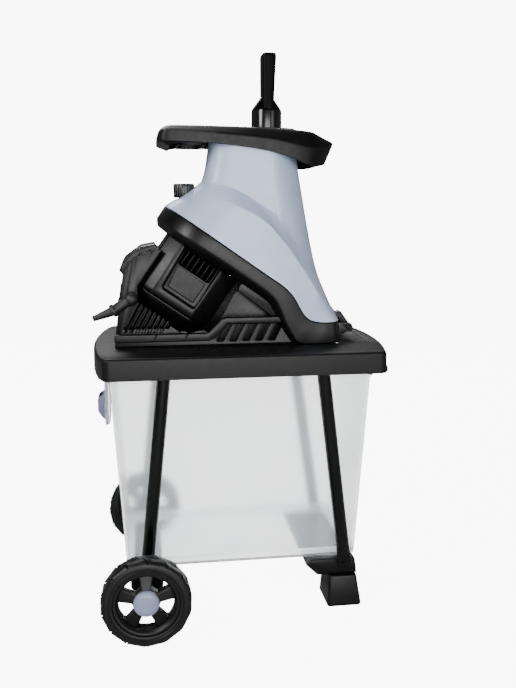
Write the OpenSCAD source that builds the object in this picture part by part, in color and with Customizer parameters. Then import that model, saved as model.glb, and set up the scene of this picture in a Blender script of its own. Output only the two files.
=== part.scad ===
// Garden shredder on a wheeled stand with a slide-out collection box.
// X runs from the wheels to the feet, Y from the near side to the far side, Z up from the floor.

/* [Stand] */
// Diameter of a road wheel over its tread
wheel_d = 160; // [150:1:170]
// Width of a road wheel
wheel_w = 38; // [34:1:42]
// Width over the outer faces of both wheels
track_w = 497; // [480:1:510]
// Diameter of the wheel axle
axle_d = 12; // [10:0.5:14]
// Distance of the axle from the bowed end of the lid
axle_inset = 87; // [84:1:95]
// Outer diameter of the leg tubes
leg_d = 22; // [20:0.5:24]
// Distance between the leg centre lines under the lid
leg_span = 320; // [316:1:330]
// Distance between the front leg centre lines at the foot beam
foot_span = 276; // [270:1:280]
// Height of the cross beams that the box stands on
beam_top = 91; // [89:0.5:94]
// Width of the flattened tongue at the low end of a front leg
tongue_d = 27; // [25:0.5:30]
// Thickness of that tongue
tongue_t = 8; // [6:0.5:10]
// Length of the spacer between a rear leg and its wheel
spacer_len = 39; // [36:0.5:42]
// Height of a foot block
foot_h = 60; // [56:1:64]
// Spokes in a wheel
spokes = 5; // [4:1:7]
// Lugs round one half of the tread
lugs = 18; // [14:1:24]
// Width of the groove between two lugs
groove_w = 6; // [4:0.5:9]

/* [Lid] */
// Length of the lid from the bow over the wheels to the corners over the feet
lid_len = 522; // [516:1:530]
// Width of the lid
lid_w = 410; // [400:1:420]
// Height of the deck over the floor
deck_z = 505; // [500:1:515]
// Depth of the lid skirt
skirt_h = 39; // [34:1:42]
// Thickness of the lid walls
lid_wall = 4; // [3:0.5:5]
// Bulge of the end over the wheels
bow = 21; // [15:1:26]
// Bulge of the end over the feet
feet_bow = 23.5; // [15:0.5:26]
// Lip along the low edge of the end over the feet
end_lip = 3; // [2:0.5:5]
// Radius of the rounded deck edge
edge_r = 6; // [4:0.5:8]

/* [Collection box] */
// Gap between the rim of the box and the lid skirt
box_gap = 10.7; // [8:0.1:14]
// Length of the box over its rim
box_len = 488; // [470:1:492]
// Draft of each box wall, from rim to floor
box_draft = 21; // [16:1:26]
// Wall thickness of the box
box_wall = 2.5; // [2:0.25:3.5]
// Travel of the latch on the box
latch_lift = 12; // [8:1:14]

/* [Cutting unit] */
// Tilt of the cutting plane
tilt = 35; // [34:0.5:36]
// Outer radius of the disc housing
shell_r = 110; // [108:1:114]
// Depth of the lower shell along the motor axis
shell_depth = 44; // [42:1:48]
// Diameter of the blade disc
disc_d = 186; // [178:1:190]
// Thickness of the blade disc
disc_t = 6; // [5:0.5:7]
// Diameter of the motor shaft
shaft_d = 15; // [14:0.5:16]
// Outer diameter of the upper bearing
bearing_d = 35; // [33:0.5:38]
// Width of the motor housing along the slope
motor_w = 136; // [130:1:140]
// Depth of the motor housing across the machine
motor_depth = 156; // [150:1:160]
// Length of the motor housing along its axis
motor_len = 103; // [98:1:106]
// Diameter of the hopper hinge pin
hinge_d = 8; // [6:0.5:9]
// Comb vents in a motor face
motor_vents = 6; // [4:1:7]
// Slots in a cradle wall
cradle_slots = 5; // [3:1:6]
// Vents in a side of the electrics housing
elec_vents = 7; // [4:1:8]

/* [Hopper] */
// Wall thickness of the hopper
hopper_wall = 3.5; // [3:0.25:4.5]
// Height of the collar top over the floor
collar_z = 903; // [895:1:910]
// Width of the collar
collar_w = 164; // [156:1:170]
// Diameter of the pusher plug
pusher_d = 57; // [52:0.5:60]
// Height of the pusher over the floor
pusher_top = 1039; // [1025:1:1050]
// Diameter of the lock knob
knob_d = 40; // [36:1:44]
// Ribs round the lock knob
knob_ribs = 24; // [16:1:30]

/* [Controls] */
// Width of the power rocker
rocker_w = 16; // [14:0.5:18]
// Height of the power rocker
rocker_h = 26; // [24:0.5:28]
// Diameter of the reset button
reset_d = 11; // [9:0.5:13]
// Cord diameter that the boot takes
cord_d = 8; // [6:0.5:9]

/* [Hidden] */

$fn = 48;
eps = 0.01;
// Running clearance on a radius, gap between bodies, and gap between pieces of one body
run_gap = 0.05;
free_gap = 0.3;
seat_gap = 0.1;

black = "#26262a";
satin = "#1d1d20";
grey_blue = "#b9c2d0";
milky = "#dcdcda";
steel = "#a9adb3";
lavender = "#6f7386";

// Arc of points round a centre, from angle a0 to a1
function arc(cx, cy, r, a0, a1, n = 6) =
    [for (i = [0:n]) let (a = a0 + (a1 - a0) * i / n) [cx + r * cos(a), cy + r * sin(a)]];
// Rectangle with round corners
function rrect(x0, x1, y0, y1, r, n = 5) = concat(
    arc(x1 - r, y1 - r, r, 0, 90, n), arc(x0 + r, y1 - r, r, 90, 180, n),
    arc(x0 + r, y0 + r, r, 180, 270, n), arc(x1 - r, y0 + r, r, 270, 360, n));
// Rectangle with cut corners
function cut_rect(hx, hy, c) = [[hx, hy - c], [hx - c, hy], [c - hx, hy], [-hx, hy - c],
    [-hx, c - hy], [c - hx, -hy], [hx - c, -hy], [hx, c - hy]];
// Cubic curve between two points
function curve(a, b, c, d, n = 10) = [for (i = [0:n]) let (t = i / n, s = 1 - t)
    s * s * s * a + 3 * s * s * t * b + 3 * s * t * t * c + t * t * t * d];

module slab(points, z, t = 0.2) {
    translate([0, 0, z]) linear_extrude(t) polygon(points);
}
// Outline in X and Z, carried across the machine between y0 and y1
module side(points, y0, y1) {
    translate([0, y1, 0]) rotate([90, 0, 0]) linear_extrude(y1 - y0) polygon(points);
}
// Round bar between two points
module rod(a, b, d) {
    v = b - a;
    translate(a) rotate([0, acos(v[2] / norm(v)), atan2(v[1], v[0])]) rotate([0, 0, 50])
        cylinder(d = d, h = norm(v));
}
// Round bar along Y
module cross_rod(x, z, d, y0, y1) {
    translate([x, y0, z]) rotate([-90, 0, 0]) cylinder(d = d, h = y1 - y0);
}
// Near and far copies
module both_sides() {
    children();
    mirror([0, 1, 0]) children();
}

// Places of the main pieces
half_len = lid_len / 2;
half_w = lid_w / 2;
axle_x = axle_inset - half_len;
axle_z = wheel_d / 2;
deck_under = deck_z - lid_wall;
skirt_z = deck_z - skirt_h;
leg_r = leg_d / 2;
leg_y = leg_span / 2;
wheel_out = track_w / 2;
wheel_in = wheel_out - wheel_w;
rear_y = wheel_in - free_gap - spacer_len - leg_r;
rear_top_x = axle_x + 44;
front_top_x = half_len - 112;
foot_x = half_len - 58;
leg_top = deck_under - 3;
tongue_z0 = foot_h + tongue_d / 2 + 12;

// Points of the slanted cutting unit: u runs down the slope, w up the motor axis
axis_x = -30;
axis_z = deck_z + 193;
function at(u, w) = [axis_x + u * cos(tilt) + w * sin(tilt), axis_z - u * sin(tilt) + w * cos(tilt)];
module on_axis() {
    translate([axis_x, 0, axis_z]) rotate([0, tilt, 0]) children();
}

// The frame's origin lies under the middle of the whole length
mid_x = (feet_bow + end_lip) / 2;
module placed() {
    translate([-mid_x, 0, 0]) children();
}

// Lid
lid_corner = edge_r + lid_wall + 5;
function lid_outline(inset) = let (x1 = half_len - inset, y1 = half_w - inset, r = lid_corner - inset,
        x0 = inset - half_len) concat(
    [for (i = [-3:3]) let (y = i / 4 * (y1 - r)) [x1 + feet_bow * (1 - pow(y / (y1 - r), 2)), y]],
    arc(x1 - r, y1 - r, r, 15, 90), arc(x0 + bow + r, y1 - r, r, 90, 170),
    [for (i = [-3:3]) let (y = -i / 4 * (y1 - r)) [x0 + bow * pow(y / y1, 2), y]],
    arc(x0 + bow + r, r - y1, r, 190, 270), arc(x1 - r, r - y1, r, 270, 345));
module lid_form(inset, z0, top) {
    hull() {
        slab(lid_outline(inset), z0);
        for (a = [0:45:90])
            slab(lid_outline(inset + edge_r * (1 - cos(a))), top - edge_r * (1 - sin(a)) - 0.2);
    }
}
// Leg centre lines, run on by a length over the top end and under the low end
module rear_leg_line(y, d, over = 0) {
    low = [axle_x, sign(y) * rear_y, axle_z];
    top = [rear_top_x, y, leg_top];
    rod(low, top + (top - low) * over / norm(top - low), d);
}
module front_leg_line(s, d, over = 0, under = 0) {
    top = [front_top_x, s * leg_y, leg_top];
    low = [foot_x, s * foot_span / 2, tongue_z0];
    run = (top - low) / norm(top - low);
    rod(low - run * under, top + run * over, d);
}
module leg_sockets(d, over) {
    intersection() {
        for (s = [-1, 1]) {
            rear_leg_line(s * leg_y, d, over);
            front_leg_line(s, d, over);
        }
        translate([-half_len, -half_w, skirt_z + 4]) cube([lid_len, lid_w, skirt_h - lid_wall - 2]);
    }
}
chute_x0 = axis_x + 159;
chute_x1 = chute_x0 + 70;
chute_hw = shell_r - 14;
foot_x1 = chute_x1 + 6;
// Grip slots beside the chute and a sunk panel under the hinge, in the deck over the feet
slot_x0 = chute_x1 + 13;
slot_len = 48;
slot_w = 8;
panel_hw = 50;
panel_sink = 2;
lip_h = 9;
module lid_deck() color(black) difference() {
    union() {
        difference() {
            union() {
                lid_form(0, skirt_z, deck_z);
                slab([for (p = lid_outline(-end_lip)) if (p[0] > half_len - lid_corner) p], skirt_z, lip_h);
            }
            lid_form(lid_wall, skirt_z - 1, deck_under);
        }
        leg_sockets(leg_d + 8, 12);
    }
    leg_sockets(leg_d + 2 * seat_gap, 1);
    both_sides() slab(rrect(slot_x0, slot_x0 + slot_len, -chute_hw, slot_w - chute_hw, slot_w / 2 - eps),
        deck_under - 1, lid_wall + 2);
    slab(rrect(foot_x1 + 6, foot_x1 + 52, -panel_hw, panel_hw, 6), deck_z - panel_sink, panel_sink + 1);
    side([[chute_x0, deck_under - 1], [chute_x1, deck_under - 1], [chute_x1, deck_z + 1],
        [chute_x0, deck_z + 1]], -chute_hw, chute_hw);
}

// Legs, beams, feet and axle
module rear_leg(s) color(satin) difference() {
    union() {
        rear_leg_line(s * leg_y, leg_d);
        cross_rod(axle_x, axle_z, leg_d + 6, s * rear_y - leg_r, s * rear_y + leg_r);
    }
    cross_rod(axle_x, axle_z, axle_d + 2 * seat_gap, -track_w, track_w);
}
module rear_leg_near() rear_leg(-1);
module rear_leg_far() rear_leg(1);
// Front leg with its low end pressed flat into a round tongue, screwed to the end of the foot beam
module front_leg(s) color(satin) {
    front_leg_line(s, leg_d);
    y = s * foot_span / 2;
    cross_rod(foot_x, tongue_z0, tongue_d, y - tongue_t / 2, y + tongue_t / 2);
}
module front_leg_near() front_leg(-1);
module front_leg_far() front_leg(1);

carrier_hw = rear_y - leg_r - 2 * seat_gap;
module axle_carrier() color(satin) difference() {
    side(rrect(axle_x - 28, axle_x + 32, axle_z - 20, beam_top, 9), -carrier_hw, carrier_hw);
    cross_rod(axle_x, axle_z, axle_d + 2 * seat_gap, -track_w, track_w);
    for (s = [-1, 1]) rear_leg_line(s * leg_y, leg_d + 2 * seat_gap);
}
beam_low = foot_h;
beam_hw = foot_span / 2 - tongue_t / 2 - seat_gap;
module foot_beam() color(satin) difference() {
    side([[foot_x - 75, beam_top - 8], [foot_x - 66, beam_top], [foot_x + 22, beam_top],
        [foot_x + 26, beam_low], [foot_x - 52, beam_low]], -beam_hw, beam_hw);
    for (s = [-1, 1]) front_leg_line(s, leg_d + 2 * seat_gap, 0, 1);
}
module foot(s) color(satin) hull() {
    slab(rrect(foot_x - 30, foot_x + 24, s * 108 - 34, s * 108 + 34, 6), foot_h - 0.2);
    slab(rrect(foot_x - 32, foot_x + 28, s * 108 - 38, s * 108 + 38, 6), 9);
    slab(rrect(foot_x - 34, foot_x + 32, s * 108 - 40, s * 108 + 40, 6), 0, 6);
}
module foot_near() foot(-1);
module foot_far() foot(1);

hub_out = wheel_out - 10;
axle_end = hub_out + 3.5;
module axle() color(steel) cross_rod(axle_x, axle_z, axle_d, -axle_end, axle_end);
module ring_on_axle(d, y0, y1, bore) {
    difference() {
        cross_rod(axle_x, axle_z, d, y0, y1);
        cross_rod(axle_x, axle_z, bore, y0 - 1, y1 + 1);
    }
}
module axle_spacers() color(satin) both_sides()
    ring_on_axle(axle_d + 9, rear_y + leg_r, wheel_in - free_gap, axle_d + 2 * seat_gap);
module axle_retainers() color(steel) both_sides()
    ring_on_axle(axle_d + 8, hub_out + free_gap, hub_out + free_gap + 1.5, axle_d + 2 * seat_gap);

// Wheels, turned about the axle from a local frame with Y outwards
hub_r = 19;
cap_r = 23;
rim_r0 = wheel_d / 2 - 30;
rim_r1 = wheel_d / 2 - 21;
tread_d = 3.5;
lug_w = PI * wheel_d / lugs - groove_w;
module at_wheel(s) {
    translate([axle_x, 0, axle_z]) rotate([s * -90, 0, 0]) translate([0, 0, wheel_in]) children();
}
module tyre(s) color(satin) at_wheel(s) difference() {
    union() {
        rotate_extrude($fn = 96) polygon([[rim_r1, 0], [wheel_d / 2 - 8, 0], [wheel_d / 2 - tread_d, 5],
            [wheel_d / 2 - tread_d, wheel_w - 5], [wheel_d / 2 - 8, wheel_w], [rim_r1, wheel_w]]);
        intersection() {
            cylinder(d = wheel_d, h = wheel_w, $fn = 96);
            for (i = [0:lugs - 1], k = [0, 1])
                rotate([0, 0, (i + k / 2) * 360 / lugs])
                    translate([wheel_d / 2 - tread_d - 2, 0, k * wheel_w / 2 + wheel_w / 4])
                        rotate([k == 0 ? 24 : -24, 0, 0]) translate([0, -lug_w / 2, -wheel_w / 4 - 1])
                            cube([12, lug_w, wheel_w / 2 + 2]);
        }
    }
    translate([0, 0, -1]) cylinder(r = rim_r1, h = wheel_w + 2, $fn = 96);
}
module rim(s) color(black) at_wheel(s) difference() {
    union() {
        difference() {
            translate([0, 0, 3]) cylinder(r = rim_r1 - seat_gap, h = wheel_w - 6, $fn = 96);
            translate([0, 0, 2]) cylinder(r = rim_r0, h = wheel_w, $fn = 96);
        }
        cylinder(r = hub_r, h = wheel_w - 10);
        for (i = [0:spokes - 1]) rotate([0, 0, 90 + i * 360 / spokes])
            translate([0, 0, 8]) linear_extrude(wheel_w - 20)
                polygon([[hub_r - 6, -8], [hub_r + 4, -10], [rim_r0 + 2, -15], [rim_r0 + 2, 15],
                    [hub_r + 4, 10], [hub_r - 6, 8]]);
    }
    translate([0, 0, -1]) cylinder(d = axle_d + 2 * run_gap, h = wheel_w + 2);
}
module hub_cap(s) color(grey_blue) at_wheel(s) difference() {
    translate([0, 0, wheel_w - 10]) rotate_extrude()
        polygon([[0, 0], [cap_r, 0], [cap_r, 6], [cap_r - 3, 9], [0, 10]]);
    translate([0, 0, wheel_w - 11]) cylinder(d = axle_d + 12, h = 6);
}
module tyre_near() tyre(-1);
module rim_near() rim(-1);
module hub_cap_near() hub_cap(-1);
module tyre_far() tyre(1);
module rim_far() rim(1);
module hub_cap_far() hub_cap(1);

// Collection box, a drafted tray with a turned-out rim
box_z = beam_top + free_gap;
box_top = skirt_z - box_gap;
box_h = box_top - box_z;
box_x0 = -half_len + 27;
box_x1 = box_x0 + box_len;
rim_hw = leg_y - leg_r - 4;
box_hw = rim_hw - 4;
// The box's sides lean in with the front legs, its ends by their own draft
side_draft = leg_y - foot_span / 2 - 1;
function box_outline(t, drop) = let (kx = box_draft * drop / box_h, ky = side_draft * drop / box_h)
    rrect(box_x0 + 4 + kx + t, box_x1 - 4 - kx - t, -box_hw + ky + t, box_hw - ky - t, 14);
pad_x = box_x0 - 3;
pad_z0 = box_top - 106;
pad_z1 = box_top - 8;
latch_hw = 30;
module collection_box() color(milky) {
    difference() {
        union() {
            hull() {
                slab(box_outline(0, box_h), box_z);
                slab(box_outline(0, 0), box_top - 0.2);
            }
            translate([0, 0, box_top - 6]) linear_extrude(6)
                polygon(rrect(box_x0, box_x1, -rim_hw, rim_hw, 16));
        }
        hull() {
            slab(box_outline(box_wall, box_h), box_z + box_wall);
            slab(box_outline(box_wall, -1), box_top + 1);
        }
    }
    difference() {
        side([[pad_x, pad_z0], [box_x0 + 22, pad_z0], [box_x0 + 6, pad_z1], [pad_x, pad_z1]],
            -latch_hw - 6, latch_hw + 6);
        hull() {
            slab(box_outline(box_wall / 2, box_h), box_z);
            slab(box_outline(box_wall / 2, 0), box_top);
        }
    }
    both_sides() translate([pad_x - 7, latch_hw, pad_z0]) cube([7 + eps, 6, pad_z1 - pad_z0]);
}
loop_z0 = pad_z0 + 8;
loop_z1 = loop_z0 + 46;
plate_x = pad_x - free_gap;
module box_latch() color(lavender) {
    translate([plate_x - 5, free_gap - latch_hw, pad_z0 - 4])
        cube([5, 2 * (latch_hw - free_gap), pad_z1 - pad_z0]);
    translate([plate_x - 5, -14, pad_z1 - 6]) cube([5, 28, tongue_z - pad_z1 + 6]);
    difference() {
        side(rrect(plate_x - 20, plate_x - 4, loop_z0, loop_z1, 4), -24, 24);
        side(rrect(plate_x - 15, plate_x - 5, loop_z0 + 6, loop_z1 - 6, 3), -25, 25);
    }
}
tongue_z = pad_z1 + 11;
switch_x = lid_wall + edge_r - half_len + 3;
switch_z = tongue_z + latch_lift + 3;
module box_switch() color(satin) difference() {
    translate([switch_x, -20, switch_z]) cube([20, 40, deck_under - switch_z]);
    translate([switch_x - 1, -16, switch_z - 1]) cube([6, 32, 4]);
}

// Base cradle: floor tray, slotted side walls, rails and the webs that carry the lower shell
cradle_x0 = axis_x - 189;
cradle_x1 = chute_x0 - 9;
cradle_hw = shell_r - 14;
rail_z = deck_z + 53;
low_rail = deck_z + 25;
module cradle_wall() {
    difference() {
        side([[cradle_x0, deck_z], [cradle_x1, deck_z], [cradle_x1 - 35, rail_z], [-17, rail_z],
            [-45, low_rail], [cradle_x0, low_rail]], -cradle_hw, 6 - cradle_hw);
        for (i = [0:cradle_slots - 1]) translate([-34 + i * 24, 0, 0])
            side([[0, deck_z + 9], [11, deck_z + 9], [27, deck_z + 38], [16, deck_z + 38]],
                -cradle_hw - 1, 7 - cradle_hw);
    }
    side([[cradle_x0, low_rail - 16], [-43, low_rail - 16], [-14, rail_z - 14], [cradle_x1 - 30, rail_z - 14],
        [cradle_x1 - 35, rail_z], [-17, rail_z], [-45, low_rail], [cradle_x0, low_rail]],
        -cradle_hw - 5, -cradle_hw + 1);
}
motor_hw = motor_w / 2;
motor_top = -shell_depth;
motor_low = motor_top - motor_len;
cover_h = 28;
web_y = cradle_hw - 34;
module cradle_web() {
    side([at(motor_hw + 4, -shell_depth - motor_len + 6), at(motor_hw + 4, -shell_depth - 0.2),
        at(motor_hw + 46, -shell_depth - 0.2), [cradle_x1 - 28, deck_z + 46], [cradle_x1, deck_z + 2],
        [-45, deck_z + 2]], -web_y, 5 - web_y);
}
module base_cradle() color(satin) {
    both_sides() {
        cradle_wall();
        cradle_web();
    }
    translate([cradle_x0, -cradle_hw, deck_z]) cube([cradle_x1 - cradle_x0, 2 * cradle_hw, 4]);
}

// Electrics housing at the wheel end, cut back round the motor
elec_hw = 76;
face_tilt = 8;
face_x = cradle_x0 + 2;
face_z = deck_z + 26;
// Points up the slanted switch face: s along the face, d out of it
function on_face(s, d) = [face_x + s * sin(face_tilt) - d * cos(face_tilt),
    face_z + s * cos(face_tilt) + d * sin(face_tilt)];
module at_face(s) {
    p = on_face(s, 0);
    translate([p[0], 0, p[1]]) rotate([0, face_tilt - 90, 0]) children();
}
rocker_s = 62;
reset_s = 26;
rocker_y = 0;
module electrics_housing() color(satin) difference() {
    side([[face_x, deck_z + 4], on_face(0, 0), on_face(94, 0), [face_x + 18, deck_z + 142],
        [face_x + 23, deck_z + 153], [face_x + 38, deck_z + 163], [face_x + 53, deck_z + 174],
        [face_x + 81, deck_z + 178], at(-motor_hw - 4, motor_top - 28), at(-motor_hw - 4, motor_low - 3),
        at(-54, motor_low - cover_h - 3), at(40, motor_low - cover_h - 3), [face_x + 125, deck_z + 4]],
        -elec_hw, elec_hw);
    both_sides() for (i = [0:elec_vents - 1]) translate([face_x + 14 + i * 11, 0, deck_z + 24])
        side([[0, 0], [5, 0], [25 - i * 2.6, 40 - i * 5], [20 - i * 2.6, 40 - i * 5]],
            -elec_hw - 1, 4 - elec_hw);
    for (p = [[30, 158], [45, 169], [66, 176.5]])
        cross_rod(face_x + p[0], deck_z + p[1], 5, -elec_hw - 1, elec_hw + 1);
    at_face(rocker_s) translate([-rocker_h / 2 - 5, rocker_y - rocker_w / 2 - 5, -18])
        cube([rocker_h + 10, rocker_w + 10, 20]);
    at_face(reset_s) translate([0, 0, -12]) cylinder(d = reset_d + 2 * free_gap, h = 14);
}
// The rocker's frame sits in the housing and carries the rocker on a short pin
module switch_frame() color(black) at_face(rocker_s) difference() {
    union() {
        translate([-rocker_h / 2 - 5 + seat_gap, -rocker_w / 2 - 5 + seat_gap, -18 + seat_gap])
            cube([rocker_h + 10 - 2 * seat_gap, rocker_w + 10 - 2 * seat_gap, 18]);
        translate([-rocker_h / 2 - 8, -rocker_w / 2 - 8, 0]) linear_extrude(2)
            square([rocker_h + 16, rocker_w + 16]);
    }
    translate([-rocker_h / 2 - 2, -rocker_w / 2 - free_gap, -15])
        cube([rocker_h + 4, rocker_w + 2 * free_gap, 20]);
    translate([0, -rocker_w / 2 - 4, -6]) rotate([-90, 0, 0]) cylinder(d = 4 + 2 * run_gap, h = rocker_w + 8);
}
module power_rocker() color(black) at_face(rocker_s) translate([0, 0, -6]) rotate([0, 7, 0]) {
    translate([0, -rocker_w / 2, 0]) rotate([-90, 0, 0]) linear_extrude(rocker_w)
        polygon([[-rocker_h / 2, -9], [-rocker_h / 2, -3], [-5, 4], [5, 4], [rocker_h / 2, -3],
            [rocker_h / 2, -9], [0, -7]]);
    translate([0, -rocker_w / 2 - 3, 0]) rotate([-90, 0, 0]) cylinder(d = 4, h = rocker_w + 6);
}
module reset_button() color("#7d2320") at_face(reset_s) translate([0, 0, -6]) rotate_extrude()
    polygon([[0, 0], [reset_d / 2, 0], [reset_d / 2, 8], [reset_d / 2 - 1, 9.5], [0, 10]]);

// Strain-relief boot: flange on the near wall, elbow, collar and tapered tail
boot_x = face_x + 30;
boot_z = deck_z + 90;
boot_tip_x = boot_x - 71;
module cord_boot() color(satin) {
    y0 = -elec_hw - 24;
    difference() {
        union() {
            translate([boot_x, -elec_hw - 26, boot_z]) rotate([-90, 0, 0]) cylinder(d = 22, h = 26);
            translate([boot_x, y0, boot_z]) sphere(d = 25);
            rod([boot_x, y0, boot_z], [boot_x - 30, y0, boot_z - 19], 19);
            rod([boot_x - 29, y0, boot_z - 18.5], [boot_x - 35, y0, boot_z - 22], 24);
            boot_tail(y0);
        }
        rod([boot_x, y0, boot_z], [boot_tip_x - 8, y0, boot_z - 36], cord_d);
    }
}
module boot_tail(y0) {
    a = [boot_x - 34, y0, boot_z - 21.5];
    b = [boot_tip_x + 2, y0, boot_z - 34];
    v = b - a;
    translate(a) rotate([0, acos(v[2] / norm(v)), 180]) cylinder(d1 = 18, d2 = cord_d + 3, h = norm(v));
}

// Seam between the lower shell and the hopper
chute_z = deck_z + 41;
function seam(lift) = let (x = at(186, lift)[0], z = chute_z + lift) concat([at(-150, lift)],
    curve(at(148, lift), at(186, lift), [x - 4, z], [x + 36, z]), [[half_len, z]]);
// Housing plan: round at the wheel end, straight sides towards the chute
function housing_plan(t, reach) = concat([[reach, shell_r - t]],
    arc(0, 0, shell_r - t, 90, 270, 24), [[reach, t - shell_r]]);
floor_w = -14;
bevel = 15;
chamber_r = disc_d / 2 + 8;
stator_r = motor_hw - 11;
foot_hw = shell_r - 6;
hinge_x = chute_x1 + 24;
hinge_z = deck_z + 24;
lug_r = hinge_d / 2 + 5;
module hinge_lug(y0, y1, tail) {
    side(concat(tail, arc(hinge_x, hinge_z, lug_r, -110, 70)), y0, y1);
}
module lower_shell() color(black) difference() {
    union() {
        difference() {
            on_axis() union() {
                translate([0, 0, bevel - shell_depth]) linear_extrude(shell_depth - bevel)
                    polygon(housing_plan(0, 200));
                hull() {
                    slab(housing_plan(0, 200), bevel - shell_depth);
                    slab(housing_plan(bevel, 200), -shell_depth);
                }
            }
            side(concat(seam(0), [[half_len, 900], [-half_len, 900]]), -200, 200);
            side([at(150, -10), at(150, -100), [half_len, 400], [half_len, 700]], -200, 200);
        }
        intersection() {
            side(concat([at(110, -shell_depth + 6), at(110, 0)],
                [for (p = seam(0)) if (p[0] < foot_x1 - 2 && p[0] > at(112, 0)[0]) p],
                [[foot_x1 - 3, chute_z], [foot_x1, deck_z], [chute_x0 - 6, deck_z],
                at(158, -36), at(146, -shell_depth + 18)]), -foot_hw, foot_hw);
            translate([-half_len, -foot_hw, deck_z]) cube([lid_len, 2 * foot_hw, 300]);
        }
        both_sides() for (y = [14, 52])
            hinge_lug(y, y + 12, [[foot_x1 - 8, deck_z + 34], [foot_x1 - 8, deck_z + 4]]);
    }
    on_axis() {
        translate([0, 0, floor_w]) cylinder(r = chamber_r, h = 60, $fn = 96);
        translate([0, -chute_hw + 4, floor_w]) cube([140, 2 * chute_hw - 8, 60]);
        translate([0, 0, -shell_depth - 1]) difference() {
            cylinder(r = stator_r, h = shell_depth + floor_w - 7);
            cylinder(d = bearing_d + 12, h = shell_depth);
        }
        translate([0, 0, -shell_depth - 1]) cylinder(d = bearing_d + 2 * seat_gap, h = 14);
        translate([0, 0, -shell_depth - 1]) cylinder(d = shaft_d + 4, h = shell_depth);
    }
    side([at(132, floor_w), at(132, 40), [foot_x1 - 10, chute_z + 60], [foot_x1 - 8, deck_z - 1],
        [chute_x0 + 2, deck_z - 1], at(160, -22), at(150, floor_w)], 4 - chute_hw, chute_hw - 4);
    cross_rod(hinge_x, hinge_z, hinge_d + 2 * seat_gap, -80, 80);
}
module hinge_pin() color(steel) cross_rod(hinge_x, hinge_z, hinge_d, -66, 66);

// Lock bracket: hooks over the disc edge and takes the tip of the lock screw
knob_x = at(0, 0)[0] - 54;
screw_d = 8;
hook_w = disc_t + 12;
module lock_bracket() color(steel) difference() {
    on_axis() side([[1 - chamber_r, floor_w], [5 - chamber_r, floor_w], [5 - chamber_r, 12],
        [15 - chamber_r, hook_w], [44 - chamber_r, hook_w], [44 - chamber_r, hook_w + 3],
        [14 - chamber_r, hook_w + 3], [1 - chamber_r, 9]], -13, 13);
    translate([knob_x, 0, 0]) cylinder(d = screw_d + 2, h = 1000);
    translate([knob_x, -screw_d / 2 - 1, 0]) cube([30, screw_d + 2, 1000]);
}

// Hopper forms: a dome over the disc, a tower above it, each drawn in by t for the inside
module point_at(u, y, w) {
    on_axis() both_sides() translate([u, y, w]) cube(0.2, center = true);
}
module ring_at(u, r, w) {
    on_axis() translate([u, 0, w]) cylinder(r = r, h = 0.2, $fn = 64);
}
module hopper_dome(t) hull() {
    ring_at(0, shell_r - t, -1);
    ring_at(18, shell_r - 5 - t, 50 - t / 2);
    ring_at(18, shell_r - 13 - t, 75 - t);
    ring_at(10, shell_r - 34 - t, 97 - t);
    point_at(205 - t, shell_r - 3 - t, -30);
    point_at(262 - t, shell_r - 8 - t, t == 0 ? -6 : -12);
    point_at(217 - t, shell_r - 8 - t, 22 - t);
    point_at(184 - t, shell_r - 9 - t, 36 - t);
    point_at(120 - t, shell_r - 11 - t, 60 - t);
    point_at(59, shell_r - 12 - t, 76 - t);
    point_at(76, shell_r - 34 - t, 99 - t);
    point_at(196 - t, 58 - t, 62 - t);
    point_at(236 - t, 66 - t, 36 - t);
    point_at(278 - t, 80 - t, t == 0 ? 8 : -8);
}
tower_hw = collar_w / 2 - 9;
// The tower's top edge is let into the underside of the collar plate
collar_floor = collar_z - 18;
tower_top = collar_floor + 1;
function tower_plan(x0, xc, x1, hw, t) = [[x0 + t, 40 - hw], [x0 + t + 8, 16 - hw],
    [x0 + 26, t - hw], [xc, t - hw], [x1 - 8 - t, 32 - hw],
    [x1 - t, 0], [x1 - 8 - t, hw - 32], [xc, hw - t], [x0 + 26, hw - t],
    [x0 + t + 8, hw - 16], [x0 + t, hw - 40]];
module hopper_tower(t) hull() {
    slab(tower_plan(-40, 74, 134, tower_hw, t), tower_top + (t == 0 ? -0.2 : 2));
    slab(tower_plan(-80, 92, 176, tower_hw + 8, t), deck_z + 130);
}
throat_r = pusher_d / 2 + free_gap;
pusher_x = 74;
seat_z = deck_z + 267;
pocket_r = knob_d / 2 + 3;
module hopper_shell() color(grey_blue) difference() {
    union() {
        difference() {
            union() {
                hopper_dome(0);
                hopper_tower(0);
            }
            difference() {
                union() {
                    hopper_dome(hopper_wall);
                    hopper_tower(hopper_wall);
                }
                translate([knob_x, 0, seat_z - 4]) cylinder(r = pocket_r + 3, h = 60);
                feed_guide();
            }
            side(concat(seam(free_gap), [[half_len, 300], [-half_len, 300]]), -half_w, half_w);
        }
        both_sides() hinge_lug(27, 51,
            [at(268, 24), [foot_x1 - 12, chute_z + 4], [foot_x1 + 2, chute_z + 0.4]]);
    }
    translate([knob_x, 0, seat_z]) cylinder(r = pocket_r, h = 60);
    translate([knob_x, 0, seat_z - 10]) cylinder(d = screw_d + 2 * run_gap, h = 20);
    cross_rod(hinge_x, hinge_z, hinge_d + 2 * run_gap, -80, 80);
}
// Sloped plate inside the tower that throws the feed onto the disc
module feed_guide() {
    side([[pusher_x + throat_r + 15, tower_top - 40], [pusher_x + throat_r + 19, tower_top - 40],
        [at(66, 40)[0] + 4, at(66, 40)[1]], [at(66, 40)[0], at(66, 40)[1]]], -90, 90);
}

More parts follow.
